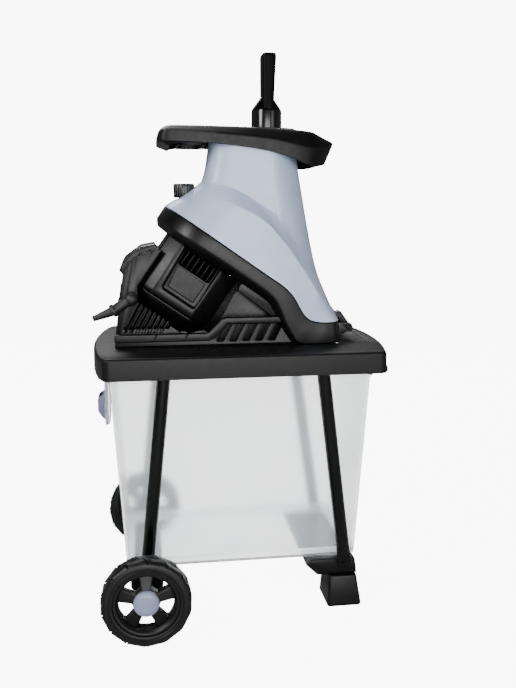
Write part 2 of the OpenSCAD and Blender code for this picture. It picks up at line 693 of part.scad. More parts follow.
// Top collar: a hollow plate with a skirt, a throat for the pusher and a carrying handle
collar_hw = collar_w / 2;
collar_x0 = -134;
collar_x1 = 200;
bar_r = 19;
gap_x0 = collar_x0 + 2 * bar_r + 2;
gap_x1 = -50;
function collar_plan(t) = [[collar_x0 + t, 16 - collar_hw], [collar_x0 + 16, t - collar_hw],
    [146, t - collar_hw],
    [collar_x1 - t, 36 - collar_hw], [collar_x1 - t, collar_hw - 36], [146, collar_hw - t],
    [collar_x0 + 16, collar_hw - t], [collar_x0 + t, collar_hw - 16]];
collar_low = curve([collar_x0 + bar_r, collar_z - 29], [70, collar_z - 34], [88, collar_z - 50],
    [132, collar_z - 73]);
module collar_block(t) intersection() {
    slab(collar_plan(t), collar_z - 90, 100);
    side(concat(arc(collar_x0 + bar_r, collar_z - bar_r, bar_r - t, 180, 90), [[40, collar_z - 2 - t],
        [156, collar_z - 8 - t], [collar_x1 - t, collar_z - 23], [collar_x1 - 16 - t, collar_z - 62 - t / 2]],
        t == 0 ? [for (i = [10:-1:0]) collar_low[i]]
            : [[132, collar_z - 90], [collar_x0 + bar_r, collar_z - 90]]), -collar_hw, collar_hw);
}
dish_z = collar_floor + 4;
module top_collar() color(black) difference() {
    union() {
        difference() {
            collar_block(0);
            difference() {
                translate([0, 0, -eps]) collar_block(4);
                translate([pusher_x, 0, collar_z - 70]) cylinder(r = throat_r + 4, h = 100);
                translate([collar_x0, -collar_hw, collar_floor]) cube([gap_x1 - 4 - collar_x0, collar_w, 40]);
                translate([gap_x1 + 4, 8 - collar_hw, collar_floor])
                    cube([156 - gap_x1, collar_w - 16, collar_z - collar_floor]);
            }
        }
        intersection() {
            cross_rod(collar_x0 + bar_r, collar_z - bar_r, 2 * bar_r, -collar_hw, collar_hw);
            slab(collar_plan(0), collar_z - 90, 100);
        }
    }
    translate([0, 0, collar_z - 90]) linear_extrude(120) polygon(rrect(gap_x0, gap_x1, -54, 54, 14));
    translate([pusher_x, 0, collar_z - 90]) cylinder(r = throat_r, h = 120);
    translate([pusher_x, 0, dish_z]) cylinder(r1 = throat_r + 12, r2 = throat_r + 26, h = 20, $fn = 64);
    translate([0, 0, free_gap]) hopper_tower(-seat_gap);
}

// Pusher: plug with a stop flange, a cone and a flat grip that widens upwards
plug_top = pusher_top - 101;
module pusher() color(satin) {
    difference() {
        translate([pusher_x, 0, 0]) union() {
            translate([0, 0, collar_z - 88]) cylinder(d = pusher_d, h = plug_top - collar_z + 88);
            translate([0, 0, dish_z + free_gap]) cylinder(r = throat_r + 9, h = 5);
            translate([0, 0, plug_top]) cylinder(d1 = pusher_d, d2 = 24, h = 22);
        }
        translate([pusher_x, 0, collar_z - 89]) cylinder(d = pusher_d - 6, h = plug_top - collar_z + 70);
    }
    side(concat([[pusher_x - 11, plug_top + 18], [pusher_x + 10, plug_top + 18]],
        arc(pusher_x + 9, pusher_top - 5, 5, 0, 90), arc(pusher_x - 9, pusher_top - 5, 5, 90, 180)), -23, 23);
}

// Lock knob and its screw
knob_z = seat_z + 3;
module lock_knob() color(satin) translate([knob_x, 0, 0]) difference() {
    union() {
        translate([0, 0, seat_z + free_gap]) cylinder(d = knob_d / 2, h = 10);
        translate([0, 0, knob_z]) cylinder(d = knob_d - 2, h = 26);
        for (i = [0:knob_ribs - 1]) rotate([0, 0, i * 360 / knob_ribs])
            translate([knob_d / 2 - 2.5, -1.2, knob_z + 2]) cube([2.4, 2.4, 22]);
    }
    translate([0, 0, seat_z - 1]) cylinder(d = screw_d + 2 * seat_gap, h = 18);
}
module lock_screw() color(steel) translate([knob_x, 0, seat_z - 13]) {
    translate([0, 0, 2]) cylinder(d = screw_d, h = 28);
    cylinder(d1 = screw_d - 3, d2 = screw_d, h = 2);
}

// Motor: housing, cover, stator and bearings, all on the slanted axis
fan_w = motor_top - 16;
stack_top = motor_top - 30;
stack_len = 44;
small_shaft = 8;
small_bearing = 22;
function motor_plan(t) = cut_rect(motor_hw - t, motor_depth / 2 - t, 22);
module motor_housing() color(satin) on_axis() difference() {
    translate([0, 0, motor_low]) linear_extrude(motor_len - seat_gap) polygon(motor_plan(0));
    translate([0, 0, motor_low - 1]) cylinder(r = stator_r, h = motor_len + 2, $fn = 96);
    both_sides() {
        translate([-32, -motor_depth / 2 - 1, motor_low + 14]) cube([68, 3, 56]);
        for (i = [0:motor_vents - 1])
            translate([-40 + i * 14, -motor_depth / 2 - 1, motor_top - 32]) cube([9, 30, 26]);
    }
}
module motor_end_cover() color(satin) on_axis() difference() {
    hull() {
        slab(motor_plan(0), motor_low - 0.2 - seat_gap);
        slab(motor_plan(4), motor_low - cover_h + 14);
        slab(cut_rect(motor_hw - 16, motor_depth / 2 - 18, 22), motor_low - cover_h);
    }
    translate([0, 0, motor_low - 4]) cylinder(r = stator_r - 4, h = 10);
    translate([0, 0, motor_low - 12]) cylinder(d = small_bearing + 2 * seat_gap, h = 20);
}
module stator_core() color(steel) on_axis() translate([0, 0, stack_top - stack_len]) difference() {
    cylinder(r = stator_r - seat_gap, h = stack_len, $fn = 96);
    translate([0, 0, -1]) cylinder(r = armature_r + 1, h = stack_len + 2);
}
armature_r = 29;
// Copper end turns on both faces of the stack
module stator_windings() color("#b06a34") on_axis() for (z = [stack_top, stack_top - stack_len - 9])
    translate([0, 0, z]) difference() {
        cylinder(r = stator_r - 6, h = 9);
        translate([0, 0, -1]) cylinder(r = armature_r + 4, h = 11);
    }
commutator_r = 14;
brush_w = motor_low + 13;
module brush_holders() color("#6d5a3a") on_axis() for (s = [-1, 1]) {
    translate([s > 0 ? commutator_r + free_gap : -stator_r + 8, -6, brush_w - 6])
        cube([stator_r - 8 - commutator_r - free_gap, 12, 12]);
    translate([s > 0 ? stator_r - 18 : -stator_r + 8, -6, motor_low - 4])
        cube([10, 12, brush_w - motor_low - 2]);
}
module ring_bearing(d, bore, w, h) color(steel) on_axis() translate([0, 0, w]) difference() {
    cylinder(d = d, h = h);
    translate([0, 0, -1]) cylinder(d = bore, h = h + 2);
}
module upper_bearing() ring_bearing(bearing_d, shaft_d + 2 * run_gap, motor_top + 1.9, 11);
module lower_bearing() ring_bearing(small_bearing, small_shaft + 2 * run_gap, motor_low - 11.9, 7);

// Turning group: shaft, armature, commutator, fan, blade disc and blades
disc_w = 4;
step_w = motor_low + 2;
module motor_shaft() color(steel) on_axis() {
    translate([0, 0, motor_low - 11]) cylinder(d = small_shaft, h = 14);
    translate([0, 0, step_w]) cylinder(d = shaft_d, h = disc_w + disc_t - step_w);
}
module on_shaft(r, w, h) {
    on_axis() translate([0, 0, w]) difference() {
        cylinder(r = r, h = h);
        translate([0, 0, -1]) cylinder(d = shaft_d + 2 * seat_gap, h = h + 2);
    }
}
module armature_core() color(steel) on_shaft(armature_r, stack_top - stack_len, stack_len);
module commutator() color("#b87333") on_shaft(commutator_r, brush_w - 9, 17);
module cooling_fan() color(black) {
    on_shaft(stator_r - 6, fan_w - 2, 3);
    on_shaft(shaft_d / 2 + 5, fan_w, 11);
    on_axis() for (i = [0:11]) rotate([0, 0, i * 30])
        translate([shaft_d / 2 + 4, -1, fan_w]) cube([stator_r - 12 - shaft_d / 2, 2, 11]);
}
blade_r = disc_d / 2 - 26;
module blade_disc() color(steel) difference() {
    on_shaft(disc_d / 2, disc_w, disc_t);
    on_axis() for (a = [0, 180]) rotate([0, 0, a])
        translate([20, -20, disc_w - 1]) cube([blade_r + 2, 9, disc_t + 2]);
}
blade_w = disc_w + disc_t;
module blades() color("#c4c8cc") on_axis() for (a = [0, 180]) rotate([0, 0, a])
    translate([22, -14, blade_w]) difference() {
        linear_extrude(4) polygon([[0, 0], [blade_r, 0], [blade_r, 26], [0, 26]]);
        rotate([60, 0, 0]) translate([-1, -10, 0]) cube([blade_r + 2, 10, 10]);
        for (x = [16, blade_r - 16]) translate([x, 16, -1]) cylinder(d = 6 + 2 * seat_gap, h = 6);
    }
module blade_screws() color(steel) on_axis() for (a = [0, 180], x = [16, blade_r - 16]) rotate([0, 0, a])
    translate([22 + x, 2, blade_w]) {
        cylinder(d = 6, h = 4);
        translate([0, 0, 4]) cylinder(d1 = 10, d2 = 8, h = 2);
    }
module disc_bolt() color(steel) on_axis() translate([0, 0, blade_w]) {
    cylinder(d = shaft_d + 12, h = 2);
    translate([0, 0, 2]) cylinder(d = shaft_d + 4, h = 6, $fn = 6);
}

placed() lid_deck();
placed() rear_leg_near();
placed() rear_leg_far();
placed() front_leg_near();
placed() front_leg_far();
placed() axle_carrier();
placed() foot_beam();
placed() foot_near();
placed() foot_far();
placed() axle();
placed() axle_spacers();
placed() axle_retainers();
placed() base_cradle();
placed() electrics_housing();
placed() switch_frame();
placed() cord_boot();
placed() box_switch();
placed() lower_shell();
placed() lock_bracket();
placed() hinge_pin();
placed() motor_housing();
placed() motor_end_cover();
placed() stator_core();
placed() stator_windings();
placed() brush_holders();
placed() upper_bearing();
placed() lower_bearing();
placed() tyre_near();
placed() rim_near();
placed() hub_cap_near();
placed() tyre_far();
placed() rim_far();
placed() hub_cap_far();
placed() hopper_shell();
placed() top_collar();
placed() pusher();
placed() lock_knob();
placed() lock_screw();
placed() motor_shaft();
placed() armature_core();
placed() commutator();
placed() cooling_fan();
placed() blade_disc();
placed() blades();
placed() blade_screws();
placed() disc_bolt();
placed() collection_box();
placed() box_latch();
placed() power_rocker();
placed() reset_button();
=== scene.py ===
"""Looks of a garden shredder on a wheeled stand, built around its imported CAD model. Metres."""
import math

import bmesh
import bpy
from mathutils import Matrix, Vector


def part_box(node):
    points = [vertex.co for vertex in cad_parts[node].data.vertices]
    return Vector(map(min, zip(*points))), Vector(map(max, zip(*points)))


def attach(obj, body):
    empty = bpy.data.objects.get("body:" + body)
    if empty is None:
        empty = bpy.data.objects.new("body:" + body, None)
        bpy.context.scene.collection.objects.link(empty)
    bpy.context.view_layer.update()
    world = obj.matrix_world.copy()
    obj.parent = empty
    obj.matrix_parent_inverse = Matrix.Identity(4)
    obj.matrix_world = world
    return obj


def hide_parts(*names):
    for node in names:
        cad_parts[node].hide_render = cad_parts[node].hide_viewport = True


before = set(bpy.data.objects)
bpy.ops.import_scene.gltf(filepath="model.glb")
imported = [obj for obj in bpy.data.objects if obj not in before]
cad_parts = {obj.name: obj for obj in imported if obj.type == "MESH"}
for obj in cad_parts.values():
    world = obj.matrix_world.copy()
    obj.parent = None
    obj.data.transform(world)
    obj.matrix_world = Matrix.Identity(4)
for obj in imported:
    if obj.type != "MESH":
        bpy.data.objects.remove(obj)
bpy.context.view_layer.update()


# Camera. The photograph was taken from the near side with a normal lens, at the height of the hopper,
# tipped down a little and turned towards the feet. The values come from a camera fitted to its edges.
# The axle is the datum of every length read from the photograph, 174 mm from the middle of the lid.
axle_low, axle_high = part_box("axle")
axle_line = Vector(((axle_low[0] + axle_high[0]) / 2, 0, (axle_low[2] + axle_high[2]) / 2))
lid_middle = axle_line.x + 0.174
photo_long_side = 688
focal_pixels = 815.05
yaw, pitch, roll = math.radians(8.06), math.radians(9.476), math.radians(-0.186)
bpy.ops.object.camera_add(location=(lid_middle - 0.1661, -1.5730, 0.7555))
camera = bpy.context.object
camera.data.sensor_width = 36
camera.data.lens = focal_pixels / photo_long_side * camera.data.sensor_width
camera.rotation_euler = (Matrix.Rotation(-yaw, 4, "Z") @ Matrix.Rotation(math.pi / 2 - pitch, 4, "X")
                         @ Matrix.Rotation(roll, 4, "Z")).to_euler()
bpy.context.scene.camera = camera


# Studio. A white paper sweep runs under the machine and curves up behind it. Soft boxes stand
# overhead, behind, in front and on both sides. Paper and room give little light of their own, but
# look white to the camera, straight on or through the box.
def linear(hex_colour, alpha=1.0):
    """sRGB hex to a linear RGBA tuple."""
    parts = [int(hex_colour[i:i + 2], 16) / 255 for i in (1, 3, 5)]
    return tuple(c / 12.92 if c <= 0.04045 else ((c + 0.055) / 1.055) ** 2.4 for c in parts) + (alpha,)


def add_node(tree, kind, sockets=None, **settings):
    """Add a node; sockets maps input names to values or to the outputs that feed them."""
    made = tree.nodes.new(kind)
    for name, value in settings.items():
        setattr(made, name, value)
    for name, value in (sockets or {}).items():
        if isinstance(value, bpy.types.NodeSocket):
            tree.links.new(value, made.inputs[name])
        else:
            made.inputs[name].default_value = value
    return made


def new_material(name, **sockets):
    """A material with its shader; sockets are the shader's inputs, with _ for a space."""
    material = bpy.data.materials.new(name)
    material.use_nodes = True
    shader = material.node_tree.nodes["Principled BSDF"]
    for socket, value in sockets.items():
        shader.inputs[socket.replace("_", " ")].default_value = value
    return material, shader


def deselect():
    """Leave edit mode and select nothing."""
    if bpy.context.object and bpy.context.object.mode == "EDIT":
        bpy.ops.object.mode_set(mode="OBJECT")
    bpy.ops.object.select_all(action="DESELECT")


def select_edges(piece, wanted):
    """In edit mode, select only the edges that are wanted."""
    bpy.ops.mesh.select_all(action="DESELECT")
    mesh = bmesh.from_edit_mesh(piece.data)
    for edge in mesh.edges:
        edge.select = wanted(edge)
    bmesh.update_edit_mesh(piece.data)


floor_size, sweep_radius = 9.0, 1.6
deselect()
bpy.ops.mesh.primitive_plane_add(size=floor_size, location=(0, 0, 0))
sweep = bpy.context.object
sweep.name = "paper_sweep"
bpy.ops.object.mode_set(mode="EDIT")
select_edges(sweep, lambda edge: all(v.co.y > 0 for v in edge.verts))
bpy.ops.mesh.extrude_region_move(TRANSFORM_OT_translate={"value": (0, 0, floor_size / 2)})
select_edges(sweep, lambda edge: all(v.co.y > 0 and abs(v.co.z) < 1e-6 for v in edge.verts))
bpy.ops.mesh.bevel(offset=sweep_radius, segments=24)
bpy.ops.object.mode_set(mode="OBJECT")
bpy.ops.object.shade_smooth()
# Matt paper has no gloss. It is bright enough to leave no horizon, and a little warm through the box.
white_to_camera, white_through_box = 9.0, 3.6
paper, shader = new_material("matt_paper", Base_Color=linear("#8E8E8D"), Roughness=0.9)
tree = paper.node_tree
rays = add_node(tree, "ShaderNodeLightPath").outputs
seen_through = add_node(tree, "ShaderNodeMath", {0: rays["Is Transmission Ray"], 1: white_through_box},
                        operation="MULTIPLY")
glow = add_node(tree, "ShaderNodeMath", {0: rays["Is Camera Ray"], 1: white_to_camera,
                                         2: seen_through.outputs["Value"]}, operation="MULTIPLY_ADD")
warmth = add_node(tree, "ShaderNodeMix", {"Factor": rays["Is Transmission Ray"], "A": linear("#FFFFFF"),
                                          "B": linear("#FFF6EA")}, data_type="RGBA")
tree.links.new(glow.outputs["Value"], shader.inputs["Emission Strength"])
tree.links.new(warmth.outputs["Result"], shader.inputs["Emission Color"])
sweep.data.materials.append(paper)

world = bpy.data.worlds.new("white_room")
bpy.context.scene.world = world
world.use_nodes = True
tree = world.node_tree
background = tree.nodes["Background"]
background.inputs["Color"].default_value = linear("#F4F6FA")
direction = add_node(tree, "ShaderNodeTexCoord").outputs["Generated"]
up = add_node(tree, "ShaderNodeSeparateXYZ", {"Vector": direction})
fade = add_node(tree, "ShaderNodeMapRange", {"Value": up.outputs["Z"], "From Min": 0.05, "From Max": 0.6,
                                             "To Min": 0.42, "To Max": 0.05})
rays = add_node(tree, "ShaderNodeLightPath").outputs
dim = add_node(tree, "ShaderNodeMath", {0: rays["Is Transmission Ray"], 1: white_through_box,
                                        2: fade.outputs["Result"]}, operation="MULTIPLY_ADD")
room = add_node(tree, "ShaderNodeMath", {0: rays["Is Camera Ray"], 1: white_to_camera,
                                         2: dim.outputs["Value"]}, operation="MULTIPLY_ADD")
tree.links.new(room.outputs["Value"], background.inputs["Strength"])
for name, place, target, power, width, height in (
        ("overhead_box", (0.1, 0.8, 2.8), (0, 0, 0.6), 22, 1.6, 1.2),
        ("back_box", (-0.2, 2.4, 2.6), (0, 0, 0.6), 80, 2.0, 1.0),
        ("left_box", (-1.9, -1.45, 1.8), (-0.1, 0, 0.65), 62, 0.8, 1.1),
        ("front_box", (0.1, -3.3, 0.95), (0, 0, 0.6), 104, 2.2, 1.5),
        ("right_box", (1.9, -2.3, 1.0), (0.1, 0, 0.55), 16, 0.9, 1.7)):
    bpy.ops.object.light_add(type="AREA", location=place)
    lamp = bpy.context.object
    lamp.name = name
    lamp.data.shape = "RECTANGLE"
    lamp.data.size, lamp.data.size_y = width, height
    lamp.data.energy = power
    lamp.rotation_euler = (Vector(target) - Vector(place)).to_track_quat("-Z", "Y").to_euler()


# Stand. Cross beams and feet are moulded black polypropylene with softened edges and a fine grain.
# The four legs are steel tube, powder coated gloss black; the front ones are pressed flat below
# into a round tongue and bolted to the ends of the foot beam.
def mm(x, y, z):
    """A point in millimetres, with X from the middle of the lid."""
    return Vector((lid_middle + x / 1000, y / 1000, z / 1000))


def grained_finish(name, dark, light, roughness, grain, depth, specular=0.5, metallic=0.0):
    """Two close shades in clouds 50 mm across, gloss that varies over flow marks of 12 mm, and a grain of
    that spacing and depth. A real grain is near 0.1 mm, so it is drawn 1 to 4 mm wide to show at all."""
    material, shader = new_material(name, Specular_IOR_Level=specular, Metallic=metallic)
    tree = material.node_tree
    place = add_node(tree, "ShaderNodeTexCoord").outputs["Object"]
    clouds = add_node(tree, "ShaderNodeTexNoise", {"Vector": place, "Scale": 1 / 0.05, "Detail": 4})
    shade = add_node(tree, "ShaderNodeValToRGB", {"Fac": clouds.outputs["Fac"]})
    for element, position, colour in zip(shade.color_ramp.elements, (0.35, 0.65), (dark, light)):
        element.position = position
        element.color = linear(colour)
    flow = add_node(tree, "ShaderNodeTexNoise", {"Vector": place, "Scale": 1 / 0.012, "Detail": 2})
    rough = add_node(tree, "ShaderNodeMapRange", {"Value": flow.outputs["Fac"], "From Min": 0.3,
                                                  "From Max": 0.7, "To Min": roughness - 0.03,
                                                  "To Max": roughness + 0.03})
    pits = add_node(tree, "ShaderNodeTexNoise", {"Vector": place, "Scale": 1 / grain, "Detail": 2})
    bump = add_node(tree, "ShaderNodeBump", {"Height": pits.outputs["Fac"], "Distance": depth,
                                             "Strength": 0.6})
    for output, socket in ((shade.outputs["Color"], "Base Color"), (rough.outputs["Result"], "Roughness"),
                           (bump.outputs["Normal"], "Normal")):
        tree.links.new(output, shader.inputs[socket])
    return material


def activate(piece):
    """Make the piece the only selected one."""
    deselect()
    piece.select_set(True)
    bpy.context.view_layer.objects.active = piece


def edit_all(piece):
    """Enter edit mode with all of the piece selected."""
    activate(piece)
    bpy.ops.object.mode_set(mode="EDIT")
    bpy.ops.mesh.select_all(action="SELECT")


def finish_piece(piece, material, body, slot, *nodes, smooth=35):
    """Smooth the piece, give it its material, and hand it to its body in place of the CAD nodes."""
    activate(piece)
    bpy.ops.object.shade_smooth_by_angle(angle=math.radians(smooth))
    if material:
        piece.data.materials.clear()
        piece.data.materials.append(material)
    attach(piece, body)
    if nodes:
        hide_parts(*nodes)


def apply_modifier(piece, kind, **settings):
    """Add a modifier, set it up and apply it."""
    activate(piece)
    modifier = piece.modifiers.new(kind.lower(), kind)
    for name, value in settings.items():
        setattr(modifier, name, value)
    bpy.ops.object.modifier_apply(modifier=modifier.name)


def soften(piece, width, segments=3, angle=32):
    """Round the piece's edges."""
    apply_modifier(piece, "BEVEL", width=width, segments=segments, limit_method="ANGLE",
                   angle_limit=math.radians(angle), use_clamp_overlap=False)


def cad_copy(node):
    """A copy of a CAD node's mesh, merged and with its flat faces whole."""
    piece = bpy.data.objects.new(node + "_skin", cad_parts[node].data.copy())
    bpy.context.collection.objects.link(piece)
    activate(piece)
    bpy.ops.mesh.customdata_custom_splitnormals_clear()
    edit_all(piece)
    bpy.ops.mesh.remove_doubles(threshold=1e-5)
    bpy.ops.mesh.dissolve_limited(angle_limit=math.radians(1))
    bpy.ops.object.mode_set(mode="OBJECT")
    return piece


def dressed(node, material, body, slot, edge=0.0008, segments=2):
    """A CAD node with moulded edges and its material, in place of the node."""
    piece = cad_copy(node)
    soften(piece, edge, segments)
    finish_piece(piece, material, body, slot, node)


def joined(piece, *others):
    """Join the others into the piece."""
    activate(piece)
    for other in others:
        other.select_set(True)
    bpy.ops.object.join()
    return piece


def close_up(piece, merge=1e-6):
    """Merge touching corners and turn all faces outwards."""
    edit_all(piece)
    bpy.ops.mesh.remove_doubles(threshold=merge)
    bpy.ops.mesh.normals_make_consistent(inside=False)
    bpy.ops.object.mode_set(mode="OBJECT")


def fill(piece, sides=0):
    """Close the holes with up to that many sides, or all of them, and turn all faces outwards."""
    edit_all(piece)
    bpy.ops.mesh.fill_holes(sides=sides)
    bpy.ops.mesh.normals_make_consistent(inside=False)
    bpy.ops.object.mode_set(mode="OBJECT")


def lofted(name, rings, capped=False, crease=None):
    """A tube through closed rings of points: a grid laid on them, with its two long edges merged.
    crease gives an edge's sharpness from the rows and columns of its ends."""
    count = len(rings[0])
    deselect()
    bpy.ops.mesh.primitive_grid_add(x_subdivisions=count, y_subdivisions=len(rings) - 1)
    piece = bpy.context.object
    piece.name = name
    for index, vertex in enumerate(piece.data.vertices):
        row, column = divmod(index, count + 1)
        vertex.co = rings[row][column % count]
    if crease:
        sharp = piece.data.attributes.new("crease_edge", "FLOAT", "EDGE")
        for edge in piece.data.edges:
            (row, column), (row_b, column_b) = (divmod(v, count + 1) for v in edge.vertices)
            sharp.data[edge.index].value = crease(row, column, row_b, column_b)
    close_up(piece)
    if capped:
        fill(piece)
    return piece


def turned(name, section, steps, place=Matrix()):
    """A closed section of radius and height points, in millimetres, spun about Z and put in place."""
    deselect()
    bpy.ops.mesh.primitive_circle_add(vertices=len(section))
    piece = bpy.context.object
    piece.name = name
    for vertex, (radius, height) in zip(piece.data.vertices, section):
        vertex.co = (radius / 1000, 0, height / 1000)
    edit_all(piece)
    bpy.ops.mesh.spin(steps=steps, angle=2 * math.pi, center=(0, 0, 0), axis=(0, 0, 1))
    close_up(piece)
    piece.data.transform(place)
    return piece


# Polypropylene from an eroded mould: dull black, its broad highlights broken up by the grain.
pp_black = grained_finish("moulded_polypropylene_black", "#050506", "#080809", 0.42, 0.0012, 0.00006,
                          specular=0.2)
# Powder coat: a deeper black with a sharp line of light down each tube and a trace of orange peel.
powder_coat = grained_finish("powder_coated_steel_tube", "#020202", "#040405", 0.2, 0.0025, 0.00003,
                             specular=0.3)
# Turned steel: pale grey metal that mirrors the soft boxes, slightly blurred.
turned_steel = grained_finish("turned_steel", "#B4B7BB", "#C6C9CC", 0.3, 0.0008, 0.00001, metallic=1.0)
# Polypropylene from a smoother mould: satin black, with clearer light along its edges.
# Painted shade: its base is a little darker than the lid's black, for the lower, downward-facing parts.
pp_smooth_shaded = grained_finish("smooth_polypropylene_black_painted_shade", "#040405", "#060607", 0.36, 0.0012, 0.00002,
                           specular=0.24)
for node in ("axle_carrier", "foot_beam", "foot_near", "foot_far"):
    dressed(node, pp_smooth_shaded, "chassis", "black_plastic", 0.0025, 3)
for node in ("axle", "axle_spacers", "axle_retainers"):
    dressed(node, turned_steel, "chassis", "steel", 0.0006)

tube = 12.2
leg_y, leg_top = 160, 498


def pressed_tube(name, low, top, stations):
    """A tube from low to top, round above, through stations of place, half width, half depth and power."""
    run = (top - low).normalized()
    across = Vector((0, 1, 0)).cross(run)
    depth = run.cross(across)
    length = (top - low).length * 1000
    sides = 32
    rings = []
    for place, width, thick, power in stations + [(length / 2, tube, tube, 2), (length, tube, tube, 2)]:
        ring = []
        for step in range(sides):
            turn = 2 * math.pi * step / sides
            c, s = math.cos(turn), math.sin(turn)
            ring.append(low + run * place / 1000
                        + across * math.copysign(abs(c) ** (2 / power), c) * width / 1000
                        + depth * math.copysign(abs(s) ** (2 / power), s) * thick / 1000)
        rings.append(ring)
    return lofted(name, rings, capped=True)


tongue = [(-13.4, 2.5, 3.0, 2), (-12.9, 4.6, 3.7, 2.4), (-11, 8, 4, 3), (-7, 11.6, 4, 4), (0, 13.5, 4, 4),
          (9, 13.4, 4, 4), (18, 13.1, 5.4, 3.2), (28, 12.6, 9.4, 2.3), (38, tube, tube, 2)]
round_end = [(-14, 9, 9, 2), (-13, 11, 11, 2), (-11, tube, tube, 2)]
tongue_half = 0.004
for side, far in (("near", -1), ("far", 1)):
    low, top = mm(203, far * 138, 85.5), mm(149, far * leg_y, leg_top)
    leg = pressed_tube("front_leg_%s_tube" % side, low, top, tongue)
    facing = (Matrix.Translation(low + Vector((0, far * tongue_half, 0)))
              @ Matrix.Rotation(-far * math.pi / 2, 4, "X"))
    washer = turned("washer", [(0, 0), (7, 0), (7, 1), (6.6, 1.3), (0, 1.3)], 32, facing)
    head = turned("head", [(0, 1.3), (5, 1.3), (5, 4), (4.4, 4.8), (0, 4.8)], 6, facing)
    joined(leg, washer, head)
    finish_piece(leg, powder_coat, "chassis", "painted_tube", "front_leg_" + side)
    low, top = mm(-174, far * leg_y, 80), mm(-130, far * leg_y, leg_top)
    leg = pressed_tube("rear_leg_%s_tube" % side, low, top, round_end)
    finish_piece(leg, powder_coat, "chassis", "painted_tube", "rear_leg_" + side)


# Wheels. Each is a blow-moulded black tyre with broad chevron blocks, on a moulded rim with five
# wide spokes. A grey-blue cap with a domed face snaps over the axle end.
def copy_of(piece, name, move=Matrix()):
    """A copy with its own mesh, moved."""
    copy = bpy.data.objects.new(name, piece.data.copy())
    bpy.context.collection.objects.link(copy)
    copy.data.transform(move)
    return copy


# Polyethylene: a waxy black, a shade lighter than the frame, that glints on the blocks' edges.
wheel_black = grained_finish("moulded_polyethylene_wheel", "#070708", "#0B0B0C", 0.42, 0.0015, 0.00006,
                             specular=0.32)
# The cap's plastic: smooth grey-blue, with one soft highlight on its dome.
cap_plastic = grained_finish("grey_blue_cap", "#7A8298", "#8289A0", 0.34, 0.0012, 0.00002)
tyre_width, tread_radius = 38, 80
blocks_round, block_half, block_lean, block_radius = 14, 16.4, 9, 78.3
shoulder_start, shoulder_drop = 31, 5.5
tyre = turned("tyre", [(59, 0.4), (59.6, 0), (63.2, 0), (64, 1), (65.2, 1), (66, 0), (70, 0), (74, 1.2),
                       (76.8, 5.6), (76.8, 32.4), (74, 36.8), (70, 38), (66, 38), (65.2, 37), (64, 37),
                       (63.2, 38), (59.6, 38), (59, 37.6)], 96)
deselect()
bpy.ops.mesh.primitive_grid_add(x_subdivisions=8, y_subdivisions=6)
block = bpy.context.object
for vertex in block.data.vertices:
    along, up = vertex.co.x, (vertex.co.y + 1) / 2
    swing = along * block_half / tread_radius
    height = 19.4 + 18.2 * up
    shoulder = max(0, (height - shoulder_start) / (tyre_width - shoulder_start))
    radius = block_radius / math.cos(swing) - shoulder_drop * shoulder ** 2
    turn = swing + (0.5 - up) * block_lean / tread_radius
    vertex.co = Vector((radius * math.cos(turn), radius * math.sin(turn), height)) / 1000
close_up(block)
if block.data.polygons[0].normal.x < 0:
    block.data.flip_normals()
apply_modifier(block, "SOLIDIFY", thickness=0.0045, offset=-1)
soften(block, 0.0007, 2, 45)
other_half = (Matrix.Rotation(math.pi / blocks_round, 4, "Z")
              @ Matrix.Translation((0, 0, tyre_width / 1000)) @ Matrix.Rotation(math.pi, 4, "X"))
blocks = []
for index in range(blocks_round):
    spin = Matrix.Rotation(2 * math.pi * index / blocks_round, 4, "Z")
    blocks.append(copy_of(block, "block", spin))
    blocks.append(copy_of(block, "block", spin @ other_half))
bpy.data.objects.remove(block)
joined(tyre, *blocks)


def extruded(name, points, run):
    """A solid: a flat outline, from a circle whose corners are put in place, carried along a vector."""
    deselect()
    bpy.ops.mesh.primitive_circle_add(vertices=len(points), fill_type="NGON")
    piece = bpy.context.object
    piece.name = name
    for vertex, point in zip(piece.data.vertices, points):
        vertex.co = point
    edit_all(piece)
    bpy.ops.mesh.extrude_region_move(TRANSFORM_OT_translate={"value": run})
    close_up(piece)
    return piece


def cut(piece, tool, operation="DIFFERENCE"):
    """Take the tool out of the piece, or join or cross them, and drop the tool."""
    apply_modifier(piece, "BOOLEAN", object=tool, operation=operation, solver="EXACT")
    bpy.data.objects.remove(tool)


def rounded(corners, radius, steps=6):
    """A flat outline with its corners rounded, as points in the plane."""
    points = []
    for index, corner in enumerate(corners):
        corner = Vector(corner)
        before = Vector(corners[index - 1]) - corner
        after = Vector(corners[(index + 1) % len(corners)]) - corner
        half = before.angle(after) / 2
        reach = min(radius / math.tan(half), before.length * 0.49, after.length * 0.49)
        start, end = corner + before.normalized() * reach, corner + after.normalized() * reach
        for step in range(steps + 1):
            t = step / steps
            points.append(start * (1 - t) ** 2 + corner * 2 * t * (1 - t) + end * t ** 2)
    return points


